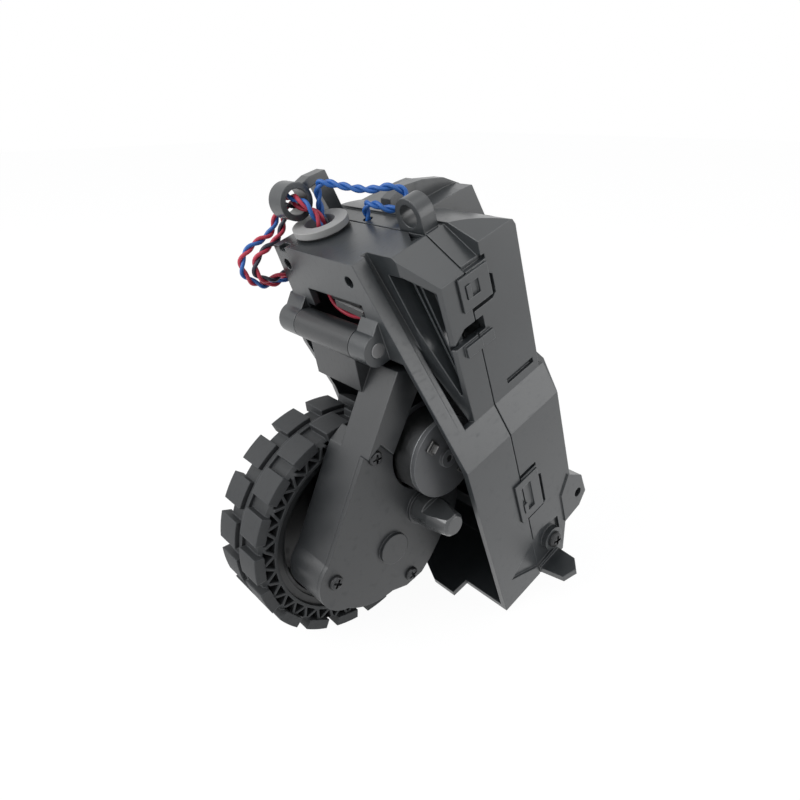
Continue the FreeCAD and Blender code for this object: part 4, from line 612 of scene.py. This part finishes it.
class WHEEL_OT_lever(bpy.types.Operator):
    """Makes the switch's lever with its front flange"""
    bl_idname = "wheel_module.lever"
    bl_label = "Lever"

    def execute(self, context):
        dull = surface("dull_plate", (0.22, 0.22, 0.222), 0.62, metallic=0.3, edge=0.00002,
                       edge_light=1.0)
        bm = bmesh.new()
        corners = [bm.verts.new((depth, LEVER_START, level)) for depth, level in LEVER_SECTION]
        edges = [bm.edges.new(pair) for pair in zip(corners, corners[1:])]
        drawn = bmesh.ops.extrude_edge_only(bm, edges=edges)["geom"]
        far = [item for item in drawn if isinstance(item, bmesh.types.BMVert)]
        bmesh.ops.translate(bm, vec=(0, -LEVER_WIDTH, 0), verts=far)
        bmesh.ops.recalc_face_normals(bm, faces=bm.faces)
        bmesh.ops.solidify(bm, geom=bm.faces[:], thickness=LEVER_THICKNESS)
        bmesh.ops.transform(bm, verts=bm.verts, matrix=CASING @ Matrix.Translation(
            (0, *LEVER_PIVOT)) @ Matrix.Rotation(LEVER_TILT, 4, "X"))
        lever = piece("lever_bar", bm, "drop_lever", dull)
        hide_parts("switch_lever")
        return {"FINISHED"}


class WHEEL_OT_finishes(bpy.types.Operator):
    """Gives every CAD piece its finish"""
    bl_idname = "wheel_module.finishes"
    bl_label = "Finishes"

    def execute(self, context):
        finish = context.scene.wheel_finish
        dress(["front_shell", "rear_shell"],
              surface("casing_abs", finish.casing, 0.3, spread=0.06, grain=3200.0,
                      height=0.12, rub_share=0.14, shine=0.85))
        dress(["gearbox_housing", "gearbox_cover"],
              surface("arm_abs", finish.arm, 0.38, spread=0.07, grain=2400.0, height=0.3,
                      rub_share=0.16, shine=0.75))
        dress(["stop_peg"], surface("peg_acetal", (0.045, 0.048, 0.05), 0.22, spread=0.03,
                                    grain=2000.0, height=0.02, rub_share=0.03, shine=0.9))
        dress(["drop_switch"], surface("switch_case", (0.03, 0.03, 0.03), 0.5))
        dress(["motor_end_cap"], surface("end_cap", (0.085, 0.088, 0.092), 0.34))
        dress(["lead_plug"], surface("plug_nylon", (0.62, 0.61, 0.57), 0.45,
                                     edge_light=1.15, cloud_share=0.06))
        dress(["first_gear", "second_gear", "output_gear"],
              surface("gear_acetal", (0.62, 0.61, 0.57), 0.38, edge_light=1.1,
                      cloud_share=0.05))
        dress(["tyre"], surface("tyre_rubber", finish.tyre, 0.62, spread=0.08, grain=1500.0,
                                height=0.5, edge=0.0006, edge_light=2.0, rub_share=0.12))
        dress(["wheel_rim"], surface("rim_abs", (0.007, 0.008, 0.009), 0.42, spread=0.06))
        dress(["wire_grommet"], surface("grommet_rubber", finish.grommet, 0.6, spread=0.06,
                                        grain=1200.0, height=0.3, edge_light=1.2,
                                        cloud_share=0.06))
        dress(["gear_shafts", "motor_screws", "wheel_axle", "axle_bearing",
               "wheel_screw"],
              surface("bright_steel", (0.42, 0.42, 0.42), 0.3, metallic=1.0, grain=1800.0,
                      height=0.1, edge_light=1.3, cloud_share=0.1))
        dress(["torsion_spring"],
              surface("spring_steel", (0.3, 0.3, 0.31), 0.34, metallic=1.0, edge=0.0001))
        dress(["hinge_pin"],
              surface("dark_pin", (0.2, 0.2, 0.203), 0.46, metallic=0.9, grain=1800.0,
                      height=0.15, edge_light=1.8))
        dress(["motor_can", "motor_rotor"],
              surface("plated_steel", (0.16, 0.165, 0.17), 0.36, metallic=1.0,
                      cloud_share=0.15))
        dress(["motor_magnets"], surface("ferrite", (0.03, 0.03, 0.032), 0.6))
        dress(["motor_pinion", "axle_bush"],
              surface("brass_turned", (0.5, 0.34, 0.12), 0.34, metallic=1.0,
                      cloud_share=0.1))
        return {"FINISHED"}


class WHEEL_OT_stage(bpy.types.Operator):
    """Sets the pale floor, the surrounding light and the lamps"""
    bl_idname = "wheel_module.stage"
    bl_label = "Stage"

    def execute(self, context):
        settings = context.scene.wheel_stage
        scene = context.scene
        scene.view_settings.view_transform = "Standard"
        bm = bmesh.new()
        bmesh.ops.create_grid(bm, x_segments=8, y_segments=8, size=FLOOR_HALF)
        floor = mesh_object("floor", bm)
        floor.data.materials.append(self.paper(settings))
        self.surround(scene, settings)
        for name, place, size, power in LAMPS:
            data = bpy.data.lights.new(name, "AREA")
            data.size = size
            data.energy = power * settings.lamp
            lamp = link(bpy.data.objects.new(name, data))
            lamp.location = place
            aim = LAMP_AIM - Vector(place)
            lamp.rotation_euler = aim.to_track_quat("-Z", "Y").to_euler()
        return {"FINISHED"}

    def paper(self, settings):
        """The floor's finish: matt paper for the light, and a pale glow where it is seen."""
        material = bpy.data.materials.new("paper_floor")
        material.use_nodes = True
        tree = material.node_tree
        shader = tree.nodes["Principled BSDF"]
        shader.inputs["Base Color"].default_value = (*settings.paper, 1)
        shader.inputs["Roughness"].default_value = 0.9
        glow = add(tree, "ShaderNodeEmission")
        glow.inputs["Strength"].default_value = FLOOR_GLOW
        path = add(tree, "ShaderNodeLightPath")
        seen = self.seen(tree, path)
        share = add(tree, "ShaderNodeMath", operation="MULTIPLY")
        share.inputs[1].default_value = GLOW_SHARE
        mix = add(tree, "ShaderNodeMixShader")
        wire_up(tree, (seen.outputs["Value"], share.inputs[0]),
                (share.outputs["Value"], mix.inputs[0]),
                (shader.outputs["BSDF"], mix.inputs[1]),
                (glow.outputs["Emission"], mix.inputs[2]),
                (mix.outputs["Shader"], tree.nodes["Material Output"].inputs["Surface"]))
        return material

    def seen(self, tree, path):
        """One for the rays that show the background: direct, mirrored or through glass."""
        direct = add(tree, "ShaderNodeMath", operation="MAXIMUM")
        either = add(tree, "ShaderNodeMath", operation="MAXIMUM")
        wire_up(tree, (path.outputs["Is Camera Ray"], direct.inputs[0]),
                (path.outputs["Is Glossy Ray"], direct.inputs[1]),
                (direct.outputs["Value"], either.inputs[0]),
                (path.outputs["Is Transmission Ray"], either.inputs[1]))
        return either

    def surround(self, scene, settings):
        """The world: white where it is seen, and a weaker light for the object."""
        world = bpy.data.worlds.new("surround")
        scene.world = world
        world.use_nodes = True
        tree = world.node_tree
        light = tree.nodes["Background"]
        light.inputs["Strength"].default_value = settings.sky
        light.inputs["Color"].default_value = (0.95, 0.97, 1.0, 1)
        white = add(tree, "ShaderNodeBackground")
        white.inputs["Color"].default_value = (1, 1, 1, 1)
        path = add(tree, "ShaderNodeLightPath")
        mix = add(tree, "ShaderNodeMixShader")
        wire_up(tree, (self.seen(tree, path).outputs["Value"], mix.inputs[0]),
                (light.outputs["Background"], mix.inputs[1]),
                (white.outputs["Background"], mix.inputs[2]),
                (mix.outputs["Shader"], tree.nodes["World Output"].inputs["Surface"]))


class WHEEL_PT_panel(bpy.types.Panel):
    """Lists the steps that dress the wheel module"""
    bl_label = "Wheel module"
    bl_idname = "WHEEL_PT_panel"
    bl_space_type = "VIEW_3D"
    bl_region_type = "UI"
    bl_category = "Wheel module"

    def draw(self, context):
        for operator in OPERATORS:
            self.layout.operator(operator.bl_idname)
        for settings in (context.scene.wheel_leads, context.scene.wheel_finish,
                         context.scene.wheel_stage):
            for name in settings.__annotations__:
                self.layout.prop(settings, name)


SETTINGS = {"wheel_stage": StageSettings, "wheel_leads": LeadSettings,
            "wheel_finish": FinishSettings}
OPERATORS = [WHEEL_OT_camera, WHEEL_OT_leads, WHEEL_OT_screws, WHEEL_OT_terminals,
             WHEEL_OT_lever, WHEEL_OT_finishes, WHEEL_OT_stage]
CLASSES = [*SETTINGS.values(), *OPERATORS, WHEEL_PT_panel]


def register():
    for item in CLASSES:
        bpy.utils.register_class(item)
    for name, settings in SETTINGS.items():
        setattr(bpy.types.Scene, name, PointerProperty(type=settings))


def unregister():
    for name in SETTINGS:
        delattr(bpy.types.Scene, name)
    for item in reversed(CLASSES):
        bpy.utils.unregister_class(item)


def main():
    register()
    bpy.ops.wheel_module.camera()
    bpy.ops.wheel_module.leads()
    bpy.ops.wheel_module.screws()
    bpy.ops.wheel_module.terminals()
    bpy.ops.wheel_module.lever()
    bpy.ops.wheel_module.finishes()
    bpy.ops.wheel_module.stage()


if __name__ == "__main__":
    main()
